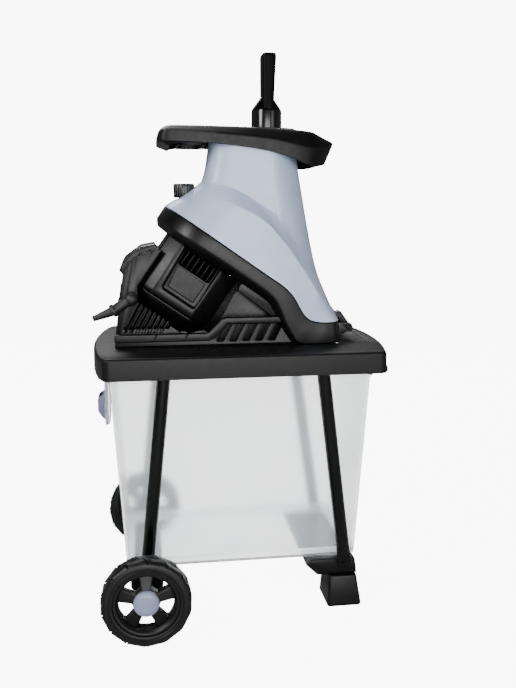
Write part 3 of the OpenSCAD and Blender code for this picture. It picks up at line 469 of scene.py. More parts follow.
rim = turned("rim", [(50, 4), (51, 3), (57.8, 3), (58.8, 4), (58.8, 34), (57.6, 35.2), (54.5, 35.4),
                     (53, 34.6), (51.6, 32), (50, 30)], 96)
wheel_disc = turned("wheel_disc", [(6.1, 0), (17, 0), (19, 1.5), (19, 8), (51, 8), (51, 24), (24, 26),
                                   (20, 27.8), (6.1, 27.8)], 96)
spokes = 5
window_outline = rounded([(24, -6.5), (46, -18.5), (49.5, 0), (46, 18.5), (24, 6.5)], 3.4)
for index in range(spokes):
    window = extruded("window", [Vector((x, y, 5)) / 1000 for x, y in window_outline], (0, 0, 0.03))
    window.data.transform(Matrix.Rotation(2 * math.pi * (index + 0.5) / spokes + math.pi / 2, 4, "Z"))
    cut(wheel_disc, window)
soften(wheel_disc, 0.0016, 3)
joined(rim, wheel_disc)
cap = turned("hub_cap", [(0, 5), (12, 5), (12, 0), (22.6, 0), (23, 0.4), (23, 3.4), (22.4, 6), (21, 7.6),
                         (19.4, 8.4), (18.9, 8.0), (18.3, 8.5), (14, 9.4), (8, 9.85), (0, 10)], 64,
             Matrix.Translation((0, 0, 0.028)))
wheel_inside = 0.2105
for side, quarter in (("near", math.pi / 2), ("far", -math.pi / 2)):
    stand = (Matrix.Translation(axle_line) @ Matrix.Rotation(quarter, 4, "X")
             @ Matrix.Translation((0, 0, wheel_inside)))
    for piece, node, material, slot in ((tyre, "tyre_", wheel_black, "wheel_plastic"),
                                        (rim, "rim_", wheel_black, "wheel_plastic"),
                                        (cap, "hub_cap_", cap_plastic, "grey_blue_plastic")):
        wheel_part = copy_of(piece, node + side + "_form", stand)
        finish_piece(wheel_part, material, "wheel_" + side, slot, node + side)
for piece in (tyre, rim, cap):
    bpy.data.objects.remove(piece)


# Collection box. A deep injection-moulded tray of milky polypropylene, drafted, with round corners and
# a rim turned outwards. A pad with two ribs at the wheel end carries the lavender latch.
def rounded_ring(x0, x1, half_width, radius, height):
    """A level ring with round corners, in millimetres."""
    ring = []
    for cx, cy, start in ((x1 - radius, half_width - radius, 0), (x0 + radius, half_width - radius, 90),
                          (x0 + radius, radius - half_width, 180), (x1 - radius, radius - half_width, 270)):
        for step in range(7):
            turn = math.radians(start + 15 * step)
            ring.append(mm(cx + radius * math.cos(turn), cy + radius * math.sin(turn), height))
    return ring


def milky_plastic(name, roughness, transmission, colours):
    """Milky polypropylene: light comes through it blurred, with faint flow clouds 120 mm across."""
    material, shader = new_material(name, Roughness=roughness, Transmission_Weight=transmission, IOR=1.2)
    tree = material.node_tree
    place = add_node(tree, "ShaderNodeTexCoord").outputs["Object"]
    clouds = add_node(tree, "ShaderNodeTexNoise", {"Vector": place, "Scale": 1 / 0.12, "Detail": 3})
    shade = add_node(tree, "ShaderNodeValToRGB", {"Fac": clouds.outputs["Fac"]})
    for element, position, colour in zip(shade.color_ramp.elements, (0.3, 0.7), colours):
        element.position = position
        element.color = linear(colour)
    tree.links.new(shade.outputs["Color"], shader.inputs["Base Color"])
    return material


def trim(piece, place, normal):
    """Cut off what lies past a plane, and close the cut."""
    edit_all(piece)
    bpy.ops.mesh.bisect(plane_co=place, plane_no=normal, clear_outer=True, use_fill=True)
    bpy.ops.object.mode_set(mode="OBJECT")


# The thin walls show the legs and the far wheel as soft shapes.
milky = milky_plastic("milky_polypropylene_box", 0.21, 0.9, ("#E8EEF4", "#F0F3F6"))
# The step round the floor is drawn whiter and less clear: partly thicker plastic, partly a painted
# highlight for the light line along the floor's edge.
thick_and_highlight_milky = milky_plastic("milky_polypropylene_ledge_painted_highlight", 0.3, 0.45, ("#F1F4F7", "#F7F8F9"))
box_wheel_end, box_feet_end, box_half = -230, 250, 141
tray_rings = []
for inset, height, radius in ((27, 91.3, 10), (24, 91.8, 12), (22, 93.6, 13.5), (21, 97, 14),
                              (0.4, 448.6, 14), (-3.2, 449.3, 16), (-4, 450.2, 16), (-4, 454.4, 16),
                              (-3.2, 455.3, 15.5), (1.8, 455.3, 13), (2.5, 454.6, 12.5), (22.6, 110, 12),
                              (23.6, 107, 11.5), (31, 105.6, 9), (32.6, 104, 8.5), (33.6, 95.4, 8),
                              (35.5, 93.8, 7)):
    tray_rings.append(rounded_ring(box_wheel_end + inset, box_feet_end - inset, box_half - inset, radius,
                                   height))
tray = lofted("tray", tray_rings, capped=True)
pad = cad_copy("collection_box")
trim(pad, mm(-234.2, 0, 0), (1, 0, 0))
joined(tray, pad)
finish_piece(tray, milky, "box", "box_plastic", "collection_box")
tray.data.materials.append(thick_and_highlight_milky)
# Painted highlight: the floor step's faces that do not face down get the whiter, less clear plastic.
ledge_low, ledge_high, ledge_reach = 0.0945, 0.1092, 0.1185
for face in tray.data.polygons:
    on_ledge = ledge_low < face.center.z < ledge_high and abs(face.center.y) < ledge_reach
    if on_ledge and face.normal.z > -0.5:
        face.material_index = 1
# Polypropylene coloured all through: a dusty lavender with a satin face.
lavender = grained_finish("lavender_polypropylene_latch", "#5E5C78", "#686682", 0.36, 0.0012, 0.00004)
latch = cad_copy("box_latch")
latch_plate = [(-242.3, 340), (-230, 340), (-230, 470), (-242.3, 470)]
cut(latch, extruded("latch_plate", [mm(x, -40, z) for x, z in latch_plate], (0, 0.08, 0)), "INTERSECT")
soften(latch, 0.0008, 2)
pull_side = rounded([(-241, 414), (-245, 405), (-252, 400.5), (-257.2, 396), (-257.2, 372), (-250, 360),
                     (-241, 352)], 7)
scoop_side = rounded([(-242.5, 420), (-244, 371), (-249, 369), (-254.2, 375), (-254.2, 420)], 3)
pull = extruded("pull", [mm(x, -24, z) for x, z in pull_side], (0, 0.048, 0))
cut(pull, extruded("scoop", [mm(x, -20, z) for x, z in scoop_side], (0, 0.04, 0)))
soften(pull, 0.0012, 3, 50)
joined(latch, pull)
finish_piece(latch, lavender, "latch", "latch_plastic", "box_latch")


# Lid. One black polypropylene moulding closes the box: a flat deck with a narrow round edge, a straight
# skirt and both ends bowed. Sockets under it take the legs, and a lip stiffens the end over the feet.
def lid_ring(inset, height):
    """The lid's outline, drawn in by an inset, at a height. All in millimetres."""
    half, wide, corner, bow, feet_bow = 261 - inset, 205 - inset, 15 - inset, 21, 23.5
    straight = wide - corner

    def corner_arc(cx, cy, start, end):
        turns = [math.radians(start + (end - start) * step / 8) for step in range(9)]
        return [mm(cx + corner * math.cos(turn), cy + corner * math.sin(turn), height) for turn in turns]

    ring = []
    for step in range(-12, 13):
        y = step / 13 * straight
        ring.append(mm(half + feet_bow * (1 - (y / straight) ** 2), y, height))
    ring += corner_arc(half - corner, straight, 15, 90)
    ring += corner_arc(bow - half + corner, straight, 90, 170)
    for step in range(12, -13, -1):
        y = step / 13 * straight
        ring.append(mm(-half + bow * (y / wide) ** 2, y, height))
    ring += corner_arc(bow - half + corner, -straight, 190, 270)
    ring += corner_arc(half - corner, -straight, 270, 345)
    return ring


skirt_low, skirt_top, edge_in, edge_up = 466, 499.5, 5.6, 5.5
skin = [lid_ring(0.6, skirt_low), lid_ring(0, skirt_low + 0.6), lid_ring(0.4, skirt_top)]
for step in range(1, 7):
    turn = math.radians(15 * step)
    skin.append(lid_ring(0.4 + edge_in * (1 - math.cos(turn)), skirt_top + edge_up * math.sin(turn)))
lid = lofted("lid", skin, capped=True)
lip = lofted("lip", [lid_ring(-2.3, 466), lid_ring(-3, 466.7), lid_ring(-3, 474), lid_ring(-2.2, 475),
                     lid_ring(0.6, 475.6)], capped=True)
lip_end = [(-190, 460), (190, 460), (190, 490), (-190, 490)]
cut(lip, extruded("end", [mm(248, y, z) for y, z in lip_end], (0.06, 0, 0)), "INTERSECT")
cut(lid, lip, "UNION")
cut(lid, lofted("under", [lid_ring(4, 460), lid_ring(4.2, 499), lid_ring(5.5, 501)], capped=True))
chute_hole = [(129, -96), (199, -96), (199, 96), (129, 96)]
cut(lid, extruded("chute_hole", [mm(x, y, 495) for x, y in chute_hole], (0, 0, 0.02)))
grip_slot = rounded([(212, -4), (260, -4), (260, 4), (212, 4)], 3.9)
for y in (-92, 92):
    cut(lid, extruded("grip_slot", [mm(x, y + side, 495) for x, side in grip_slot], (0, 0, 0.02)))
panel = rounded([(211, -50), (257, -50), (257, 50), (211, 50)], 6)
cut(lid, extruded("panel", [mm(x, y, 503) for x, y in panel], (0, 0, 0.005)))
soften(lid, 0.0007, 2, 50)
sockets = cad_copy("lid_deck")
for place, normal in ((mm(0, 0, 500.8), (0, 0, 1)),
                      (mm(0, -181, 0), (0, -1, 0)), (mm(0, 181, 0), (0, 1, 0)),
                      (mm(-190, 0, 0), (-1, 0, 0)), (mm(190, 0, 0), (1, 0, 0))):
    trim(sockets, place, normal)
joined(lid, sockets)
finish_piece(lid, pp_black, "chassis", "black_plastic", "lid_deck")
dressed("box_switch", pp_black, "chassis", "black_plastic", 0.001)


# Base cradle. A black polypropylene tray screwed to the deck: slotted side walls under a stepped rail,
# with a strut on each side up to the shell. Its slots are open, and two small ribs cross the rail.
def mirrored(piece):
    """Join the piece's copy on the far side into it, turned the right way out."""
    other = copy_of(piece, "far_side", Matrix.Scale(-1, 4, (0, 1, 0)))
    other.data.flip_normals()
    return joined(piece, other)


def plate(name, outline, near, far, edge=0.0012, segments=2):
    """A flat piece across the machine: an outline of x and z, from one y to another, with round edges."""
    piece = extruded(name, [mm(x, near, z) for x, z in outline], (0, (far - near) / 1000, 0))
    if edge:
        soften(piece, edge, segments)
    return piece


deck_top, slot_pitch = 505.2, 24
wall = plate("cradle_wall", rounded([(-218, deck_top), (120, deck_top), (86, 557.8), (-17, 557.8),
                                     (-45, 529.8), (-218, 529.8)], 3), -96, -90, 0)
for index in range(5):
    x = -34 + slot_pitch * index
    slot_side = rounded([(x, 513), (x + 13, 513), (x + 29, 544.5), (x + 16, 544.5)], 2)
    cut(wall, plate("slot", slot_side, -99, -86, 0))
soften(wall, 0.0012)
rail = plate("rail", rounded([(-219, 515), (-50, 515), (-38, 519), (-12, 545.5), (88, 545.5), (84, 558),
                              (-17, 558), (-24, 555), (-47, 532), (-54, 530), (-219, 530)], 4),
             -101.4, -94, 0.0022, 3)
ribs = []
for x in (-156, -99.5):
    rib_side = [(x, 516.5), (x + 5, 516.5), (x + 15, 528.5), (x + 10, 528.5)]
    ribs.append(plate("rib", rib_side, -104.6, -100, 0.002, 3))
strut = plate("strut", rounded([(6, 606), (12, 618), (20, 622), (30, 612), (92, 566), (84, 558),
                                (68, 558)], 4), -93, -84, 0.0022, 3)
web = plate("web", [(-45, 507), (2, 597), (53, 634), (92, 552), (120, 507)], -63, -58)
joined(wall, rail, strut, web, *ribs)
mirrored(wall)
floor_plan = rounded([(-219, -96), (120, -96), (120, 96), (-219, 96)], 4)
tray_floor = extruded("tray_floor", [mm(x, y, deck_top) for x, y in floor_plan], (0, 0, 0.004))
soften(tray_floor, 0.0008)
joined(wall, tray_floor)
finish_piece(wall, pp_smooth_shaded, "chassis", "black_plastic", "base_cradle")


# Electrics housing. A black hood over the switch gear at the wheel end, ribbed along its back and
# louvred on its sides. It carries the rocker, the red reset cap and a soft boot with an open bore.
louvre_pitch, louvre_low, louvre_lean = 11, 536, 0.55


def louvre_side(x, width, high):
    """The slanted outline of a louvre's slot or blade."""
    shift = (high - louvre_low) * louvre_lean
    return [(x, louvre_low), (x + width, louvre_low), (x + width + shift, high), (x + shift, high)]


hood = cad_copy("electrics_housing")
for far in (-1, 1):
    for index in range(8):
        slot_side = rounded(louvre_side(-203 + louvre_pitch * index, 5.5, 586 - 5.4 * index), 2)
        cut(hood, plate("louvre", slot_side, far * 80, far * 44, 0))
soften(hood, 0.0012, 2)
blades = []
for far in (-1, 1):
    for index in range(7):
        blade_side = louvre_side(-196.9 + louvre_pitch * index, 4.3, 584 - 5.4 * index)
        blades.append(plate("louvre_blade", blade_side, far * 78.6, far * 73, 0.0018, 3))
joined(hood, *blades)
spine = [(-206, 640), (-202, 650), (-196, 660), (-181, 671), (-166, 682), (-140, 687)]
rib_side = [(x - 2, z + 4) for x, z in spine] + [(x + 6, z - 6) for x, z in reversed(spine)]
rib_half = 3.5
ribs = [plate("back_rib", rib_side, y - rib_half, y + rib_half) for y in (-62, -46, -30, 30, 46, 62)]
joined(hood, *ribs)
finish_piece(hood, pp_smooth_shaded, "chassis", "black_plastic", "electrics_housing")
dressed("switch_frame", pp_black, "chassis", "black_plastic", 0.0014, 3)
# Soft rubber: a greyish black with hardly a highlight.
boot_rubber = grained_finish("soft_black_rubber", "#070708", "#0B0B0C", 0.55, 0.001, 0.00005)
dressed("cord_boot", boot_rubber, "chassis", "boot_rubber", 0.0012)
# Polished ABS: nearly pure black between sharp, bright lines of light.
gloss = grained_finish("gloss_black_abs", "#020202", "#030304", 0.17, 0.004, 0.00001, specular=0.4)
dressed("power_rocker", gloss, "rocker", "gloss_black", 0.0008)
# Red ABS: one small warm spot on a black face.
red = grained_finish("red_abs_cap", "#7A1512", "#861916", 0.35, 0.0012, 0.00003)
dressed("reset_button", red, "reset", "reset_red")


# Motor. Inside the black housing a laminated stack with copper end turns and two ball bearings carries
# the shaft, which drives the blade disc on the slanted axis. The housing is a chamfered box with a sunk
# front: cooling fins above, a bare plate below, and a dished cover closes its low end.
tilt = math.radians(35)


def on_slope(u, y, w):
    """A point of the slanted cutting unit: u runs down the slope, w up the motor axis. Millimetres."""
    return mm(-30 + u * math.cos(tilt) + w * math.sin(tilt), y,
              698 - u * math.sin(tilt) + w * math.cos(tilt))


slope_axis = Matrix.Translation(on_slope(0, 0, 0)) @ Matrix.Rotation(tilt, 4, "Y")
for node in ("stator_core", "upper_bearing", "lower_bearing"):
    dressed(node, turned_steel, "chassis", "steel", 0.0004)
# Enamelled copper: orange-brown under a clear lacquer, uneven as wound wire is.
copper = grained_finish("enamelled_copper", "#8A4A22", "#9C5628", 0.35, 0.0009, 0.0001)
for node in ("stator_windings", "brush_holders"):
    dressed(node, copper, "chassis", "copper", 0.0008)
for node in ("motor_shaft", "armature_core", "blade_disc", "blades", "blade_screws", "disc_bolt"):
    dressed(node, turned_steel, "cutter", "steel", 0.0004)
dressed("commutator", copper, "cutter", "copper", 0.0004)
dressed("cooling_fan", pp_black, "cutter", "black_plastic", 0.0004)


def motor_ring(half, depth, corner, w):
    """The motor's chamfered plan at a height on its axis."""
    side = depth - corner * 0.55
    upper_corner = corner - half - 4
    return [on_slope(u, y, w) for u, y in ((half, side), (half - corner, depth), (upper_corner, depth),
                                           (-half, side), (-half, -side), (upper_corner, -depth),
                                           (half - corner, -depth), (half, -side))]


def on_front(name, outline, near, far, edge=0.001):
    """A flat piece on the motor's front: an outline of u and w, from one y to another."""
    piece = extruded(name, [on_slope(u, near, w) for u, w in outline], (0, (far - near) / 1000, 0))
    if edge:
        soften(piece, edge, 2)
    return piece


housing = lofted("motor_form", [motor_ring(76, 78, 34, -40.5), motor_ring(77, 80, 36, -138),
                                motor_ring(75, 78, 34, -146.8)], capped=True)
recess = rounded([(-40, -30), (37, -30), (37, -128), (-34, -128)], 6)
fin_pocket = rounded([(-35, -30), (31, -30), (31, -73), (-33, -73)], 3)
for far in (-1, 1):
    cut(housing, on_front("recess", recess, far * 90, far * 71, 0))
    cut(housing, on_front("fin_pocket", fin_pocket, far * 90, far * 65.5, 0))
soften(housing, 0.003, 3, 25)
cut(housing, turned("stator_bore", [(0, -150), (64, -150), (64, -40), (0, -40)], 96, slope_axis))
fin_thick, fin_top, fin_foot = 2.4, -44.4, -74
bare_plate = rounded([(-32, -78), (30, -78), (30, -121), (-27, -121)], 3)
sunk_face = rounded([(-29.5, -80.5), (27.5, -80.5), (27.5, -118.5), (-24.5, -118.5)], 2)
for far in (-1, 1):
    fins = []
    for u in (-30, -19, -8, 3, 14, 25):
        fin_side = [(u, fin_top), (u + fin_thick, fin_top), (u + fin_thick, fin_foot), (u, fin_foot)]
        fins.append(on_front("fin", fin_side, far * 76.4, far * 65, 0.0011))
    front_plate = on_front("bare_plate", bare_plate, far * 73, far * 70.5)
    cut(front_plate, on_front("sunk", sunk_face, far * 74, far * 72.2, 0))
    joined(housing, front_plate, *fins)
finish_piece(housing, pp_smooth_shaded, "chassis", "black_plastic", "motor_housing")
cover = lofted("cover_form", [motor_ring(75, 78, 34, -147.2), motor_ring(74, 77, 34, -153),
                              motor_ring(66, 68, 32, -166), motor_ring(58, 60, 30, -174.8)], capped=True)
cut(cover, turned("bearing_seat", [(0, -159), (11.1, -159), (11.1, -151), (60, -151), (60, -140),
                                   (0, -140)], 64, slope_axis))
soften(cover, 0.003, 3, 20)
finish_piece(cover, pp_smooth_shaded, "chassis", "black_plastic", "motor_end_cover")


# Lower shell. The black half of the cutting chamber: a deep band runs round the disc under the seam,
# sweeps down in a smooth bend and spreads into the foot of the chute, which stands on the deck. The
# hinge pin is at its end.
def smooth_path(points, steps=3):
    """A smooth curve through half a ring, which meets its mirror image squarely at both ends."""
    path = [Vector(point) for point in points]
    path = [path[1] * Vector((1, -1, 1))] + path + [path[-2] * Vector((1, -1, 1))]
    curve = []
    for a, b, c, d in zip(path, path[1:], path[2:], path[3:]):
        for step in range(steps):
            t = step / steps
            curve.append((b * 2 + (c - a) * t + (a * 2 - b * 5 + c * 4 - d) * t ** 2
                          + (b * 3 - a - c * 3 + d) * t ** 3) / 2)
    return curve + [path[-2]]


def both_halves(half):
    """A whole ring from its near half, which runs from the wheel end to the feet end."""
    points = [mm(*point) for point in half]
    return points + [Vector((p.x, -p.y, p.z)) for p in reversed(points[1:-1])]


seam = [(-120.1, 0, 761.1), (-111.9, -45, 755.4), (-87.3, -85, 738.2), (-50.5, -107, 712.4),
        (11, -110, 669.3), (60.1, -109.8, 634.9), (91.2, -109.4, 613.1), (109.3, -109, 593.4),
        (121.6, -108.4, 571.5), (135.5, -107.6, 553.5), (158.4, -106, 546.1), (188, -101, 546),
        (202, -66, 546), (203.6, 0, 546)]
band_low = [(-136.8, 0, 737), (-128.4, -46, 731.4), (-104, -86, 713.5), (-66, -107.4, 690),
            (-3.5, -110.3, 648.6), (45.6, -110.3, 614.2), (70, -110.2, 594), (83, -110, 573),
            (93, -109.4, 548), (106, -108.6, 524), (124, -107.6, 505.4), (190, -104, 505.4),
            (205, -68, 505.4), (206, 0, 505.4)]
tuck = [(-135.6, 0, 722.4), (-128, -38, 716.5), (-106, -75, 700), (-73, -95, 678.4), (-12, -98.4, 637),
        (37, -98.4, 603), (61, -98.4, 585), (74, -98.4, 566), (84, -98, 543), (97, -97.4, 521),
        (115, -96.6, 505.4), (180, -94, 505.4), (197, -60, 505.4), (198, 0, 505.4)]


def lowered(row, drop):
    """The row, drop millimetres lower, as a smooth path that stays above the deck."""
    return [(p.x, p.y, max(p.z - drop, 505.3)) for p in smooth_path(row)]


def closing(row):
    """The row drawn flat onto the middle plane, where its two halves meet."""
    return [(x, 0, z) for x, y, z in row]


shell_rows = [lowered(seam, 0.5), lowered(band_low, 0), lowered(tuck, 0)]
shell_rows = [closing(shell_rows[0])] + shell_rows + [closing(shell_rows[-1])]
shell = lofted("shell_form", [both_halves(row) for row in shell_rows])
soften(shell, 0.0028, 3, 28)
way_near, way_run = -92, (0, 0.184, 0)
cut(shell, turned("chamber", [(0, -14), (98, -14), (98, 60), (0, 60)], 96, slope_axis))
feed_way = [on_slope(u, way_near, w) for u, w in ((0, -14), (140, -14), (140, 60), (0, 60))]
cut(shell, extruded("feed_way", feed_way, way_run))
chute_way = [on_slope(132, way_near, -14), on_slope(132, way_near, 40), mm(193, way_near, 606),
             mm(195, way_near, 504), mm(131, way_near, 504), on_slope(160, way_near, -22),
             on_slope(150, way_near, -14)]
cut(shell, extruded("chute_way", chute_way, way_run))
cut(shell, turned("shaft_way", [(0, -60), (10, -60), (10, 0), (0, 0)], 48, slope_axis))
close_up(shell, 2e-5)
fill(shell, 8)
hinge_x, hinge_z, eye_radius, pin_bore = 223, 529, 9, 4.05


def hinge_lugs(tail, y0, y1):
    """A pair of round lugs on the hinge line, each with a tail of x and z points and a bore for the pin."""
    turns = [math.radians(angle) for angle in range(-110, 71, 12)]
    eye = [(hinge_x + eye_radius * math.cos(turn), hinge_z + eye_radius * math.sin(turn)) for turn in turns]
    lug = plate("lug", tail + eye, y0, y1, 0)
    cut(lug, turned("pin_bore", [(0, -90), (pin_bore, -90), (pin_bore, 90), (0, 90)], 32,
                    Matrix.Translation(mm(hinge_x, 0, hinge_z)) @ Matrix.Rotation(math.pi / 2, 4, "X")))
    soften(lug, 0.0008)
    return mirrored(lug)


shell_tail = [(199, 539), (199, 509)]
joined(shell, hinge_lugs(shell_tail, 14, 26), hinge_lugs(shell_tail, 52, 64))
finish_piece(shell, pp_smooth_shaded, "chassis", "black_plastic", "lower_shell")
dressed("lock_bracket", turned_steel, "chassis", "steel", 0.0004)
# Blackened steel: a dark metal that keeps one soft line of light.
black_steel = grained_finish("blackened_steel", "#141416", "#1A1A1C", 0.34, 0.0008, 0.00001, metallic=1.0)
dressed("hinge_pin", black_steel, "chassis", "steel", 0.0004)


# Hopper. One large shell of satin grey-blue ABS, moulded with 3.5 mm walls. It meets the lower shell
# along the slanted seam, swells into a dome over the disc and draws in to a tower, with a soft crease
# round the dome. Two black straps carry it on the hinge pin.
dome = [(-72, 0, 789.5), (-65, -45, 785.5), (-44, -82, 775), (-3, -102, 763), (32, -104.5, 747),
        (62, -105, 727), (84, -105, 703), (103, -105, 679), (122, -104.5, 651), (141, -103.5, 622),
        (161, -100, 592), (180, -86, 572), (190, -48, 573), (192, 0, 574)]
band = [(-51, 0, 805), (-48, -38, 803.5), (-37, -62, 801), (-12, -71, 796), (12, -73, 786),
        (36, -74, 772.5), (58, -74.5, 757), (86, -75.5, 739), (104, -75, 718), (122, -71, 698),
        (140, -61, 676), (156, -43, 653), (163.5, -21, 641), (165.5, 0, 637)]
waist = [(-43, 0, 826), (-41, -37, 826), (-32, -60, 826), (-10, -70.5, 825), (12, -72.4, 823),
         (35, -73.2, 820), (56, -74, 815), (79, -75, 805), (94, -69, 802), (108, -59, 800), (120, -46, 798),
         (131, -30.5, 797), (137.5, -15, 796), (139, 0, 796)]
tower_top = 885.6
mouth_plan = [(-34, 0), (-33, -35), (-25, -58), (-7, -69), (12, -71), (34, -71.6), (54, -72), (74.5, -72.6),
              (90, -65), (102, -54), (112, -42), (119, -27), (123, -13), (124, 0)]
mouth = [(x, y, tower_top) for x, y in mouth_plan]
fine = 3
half_count = fine * (len(seam) - 1)


def between(a, b, share):
    """A ring part of the way from one ring to the next."""
    return [tuple(p + (q - p) * share for p, q in zip(first, second)) for first, second in zip(a, b)]


hopper_rows = [seam, between(seam, dome, 0.08), between(seam, dome, 0.5), dome, between(dome, band, 0.5),
               band, waist, between(waist, mouth, 0.5), mouth]
dome_row, band_row, edge_column = 3, 5, 7 * fine


def hopper_crease(row, column, row_b, column_b):
    """Sharpness of the hopper's edges: the dome's crease, the band's and the tower's upright edge."""
    whole = 2 * half_count
    place, place_b = (min(c % whole, whole - c % whole) for c in (column, column_b))
    if row == row_b == dome_row and place >= 2 * fine:
        return 0.85
    if row == row_b == band_row and max(place, place_b) <= edge_column:
        return 0.6
    if place == place_b == edge_column and min(row, row_b) >= band_row:
        return 0.75
    return 1.0 if row == row_b and row in (0, len(hopper_rows) - 1) else 0.0


# Satin ABS: a pale grey-blue whose broad, soft highlights show the swell of the dome.
abs_grey = grained_finish("satin_grey_blue_abs", "#A4B1CA", "#ACB9D1", 0.34, 0.0015, 0.00002)
hopper_rings = [both_halves(smooth_path(row, fine)) for row in hopper_rows]
hopper = lofted("hopper", hopper_rings, crease=hopper_crease)
apply_modifier(hopper, "SUBSURF", levels=2, render_levels=2)
solid_hopper = copy_of(hopper, "solid_hopper")
fill(solid_hopper)
apply_modifier(hopper, "SOLIDIFY", thickness=0.0035, offset=-1, use_even_offset=True)
knob_stand = Matrix.Translation(mm(-84, 0, 0))
pocket = turned("pocket", [(0, 772), (23, 772), (23, 860), (0, 860)], 64, knob_stand)
cup = turned("cup", [(4.1, 768), (26, 768), (26, 830), (23, 830), (23, 772), (4.1, 772)], 64, knob_stand)
cut(cup, solid_hopper, "INTERSECT")
cut(hopper, pocket)
soften(cup, 0.0006, 2)
guide = extruded("feed_guide", [mm(114, -30, 846), mm(114, 30, 846), mm(47, 60, 693), mm(47, -60, 693)],
                 (0.004, 0, 0))
soften(guide, 0.0008, 2)
joined(hopper, cup, guide)
finish_piece(hopper, abs_grey, "hopper", "grey_blue_plastic", "hopper_shell", smooth=30)
straps = hinge_lugs([(211, 559), (196, 556), (196, 546.8), (206, 546.8)], 27, 51)
straps.name = "hinge_straps"
finish_piece(straps, pp_black, "hopper", "black_plastic")


# Collar. A thick black moulding sits on the tower like a tray: its underside is turned in, its near and
# far edges sag towards the feet end, a hand gap is cut through over the knob and a dish round the plug
# is raised.
plan = [(-134, 0), (-134, -40), (-134, -64), (-128, -77), (-112, -82), (-60, -82), (0, -82), (50, -82),
        (100, -82), (146, -80), (184, -52), (198, -38), (200, 0)]
low_edge = (872, 872, 872, 873, 874, 872.5, 868, 862, 851, 829, 832, 836, 838)
high_edge = (893, 893, 893, 894, 894.5, 891.5, 886.5, 882.5, 875.5, 861.5, 867, 876, 878)
turned_in = [(-112, 0, 864), (-112, -40, 864), (-113, -62, 864), (-112, -72, 866), (-106, -77, 870)]
turned_in += [(x, -78, z - 0.5) for (x, y), z in zip(plan[5:10], low_edge[5:10])]
turned_in += [(168, -50, 832), (178, -36, 835.5), (180, 0, 837.5)]
collar_low = [(x, y, z) for (x, y), z in zip(plan, low_edge)]
collar_low[10:] = [(170, -52, 832), (181, -38, 836), (183, 0, 838)]
collar_high = [(x, y, z) for (x, y), z in zip(plan, high_edge)]
brow = [(-120, 0, 903), (-120, -38, 903), (-119, -58, 903), (-114, -66, 903), (-102, -69, 903),
        (-55, -69, 902.5), (0, -69, 901.5), (50, -69, 900.5), (100, -67, 898.5), (148, -58, 895.5),
        (160, -40, 894.5), (160, -30, 894.5), (161, 0, 894.5)]
inner = [(x * 0.9 + 3, y * 0.86, z) for x, y, z in brow]
collar_rows = [turned_in, collar_low, collar_high, brow, inner]


def collar_crease(row, column, row_b, column_b):
    """Sharpness of the collar's edges: the low edge, the upper edge past its round wheel end, the brow."""
    count = 2 * (len(plan) - 1)
    place = min(column % count, count - column % count)
    if row != row_b:
        return 0.0
    return (1.0, 0.9, 0.75 if place > 3 else 0.0, 0.3, 0.0)[row]


collar = lofted("collar", [both_halves(row) for row in collar_rows], crease=collar_crease)
activate(collar)
bpy.ops.object.mode_set(mode="EDIT")
select_edges(collar, lambda edge: edge.is_boundary and all(v.co.z > 0.89 for v in edge.verts))
bpy.ops.mesh.edge_face_add()
bpy.ops.object.mode_set(mode="OBJECT")
apply_modifier(collar, "SUBSURF", levels=3, render_levels=3)
close_up(collar)
apply_modifier(collar, "SOLIDIFY", thickness=0.004, offset=-1, use_even_offset=True)
gap = [mm(x, y, 850) for x, y in rounded([(-94, -54), (-50, -54), (-50, 54), (-94, 54)], 14)]
gap_wall = [mm(x, y, 868) for x, y in rounded([(-98, -58), (-46, -58), (-46, 58), (-98, 58)], 17)]
gap_run = (0, 0, 0.06)
cut(collar, extruded("gap", gap, gap_run))
wall = extruded("wall", gap_wall, (0, 0, 0.0325))
cut(wall, extruded("gap", gap, gap_run))
soften(wall, 0.0012)
dish_stand = Matrix.Translation(mm(74, 0, 0))
cut(collar, turned("dish_hole", [(0, 840), (52, 840), (52, 910), (0, 910)], 64, dish_stand))
dish = turned("dish", [(28.8, 833), (28.8, 889), (40.8, 889), (53, 901), (54.8, 901.4), (56.8, 899),
                       (43, 885), (32.8, 885), (32.8, 833)], 96, dish_stand)
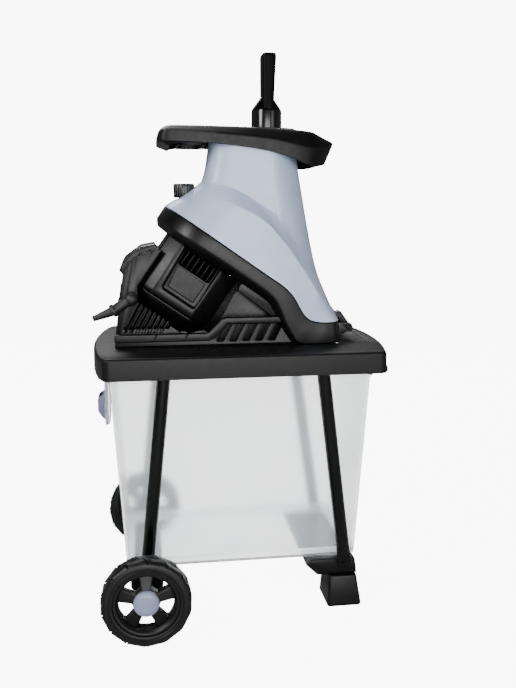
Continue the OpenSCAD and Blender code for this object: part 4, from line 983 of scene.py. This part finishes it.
soften(dish, 0.0007, 2)
joined(collar, wall, dish)
finish_piece(collar, pp_black, "hopper", "black_plastic", "top_collar", smooth=30)


# Pusher. A gloss black plug that feeds the last twigs down the tower: a hollow stem with a flange that
# rests in the dish, and a flat upright grip whose ends run down flush into the stem.
stem = turned("stem", [(25.5, 815), (28.1, 815), (28.5, 815.4), (28.5, 889.3), (37.2, 889.3), (37.8, 889.9),
                       (37.8, 893.6), (37.1, 894.3), (29.5, 894.3), (28.5, 895.3), (28.5, 934), (27.6, 938),
                       (14, 957.5), (12, 960), (0, 960), (0, 956), (11, 956), (25.5, 934)], 96, dish_stand)
grip_sides, grip_end = 48, 5
grip_rings = []
for centre, thick, wide, height in ((75, 9.9, 28, 930), (75.2, 10, 27.4, 948), (75.6, 10.3, 26, 965),
                                    (76.1, 11.2, 24.5, 990), (77.2, 12.7, 23.5, 1030),
                                    (77.2, 12.7, 23.4, 1035), (77.2, 11.8, 22.6, 1038),
                                    (77.2, 9.4, 20.4, 1039)):
    ring = []
    for step in range(grip_sides):
        turn = 2 * math.pi * (step + 0.5) / grip_sides
        reach = math.copysign(wide - grip_end, math.sin(turn)) + grip_end * math.sin(turn)
        ring.append(mm(centre + thick * math.cos(turn), reach, height))
    grip_rings.append(ring)
grip = lofted("grip", grip_rings, capped=True)
# The same ABS, grained for the hand: it stays black where the stem shines.
grip_black = grained_finish("grained_black_abs", "#020202", "#030304", 0.46, 0.0012, 0.00002, specular=0.06)
stem.data.materials.append(gloss)
grip.data.materials.append(grip_black)
joined(stem, grip)
finish_piece(stem, None, "pusher", "gloss_black", "pusher")


# Lock knob. A ribbed black knob sits in the hopper's pocket and turns a plain steel screw down into
# the bracket, which holds the hopper shut.
# Ribbed ABS: each rib catches a thin line of light.
knob_black = grained_finish("ribbed_black_abs", "#060607", "#0A0A0B", 0.28, 0.0015, 0.00001)
dressed("lock_knob", knob_black, "knob", "gloss_black", 0.0008)
dressed("lock_screw", turned_steel, "knob", "steel", 0.0004)
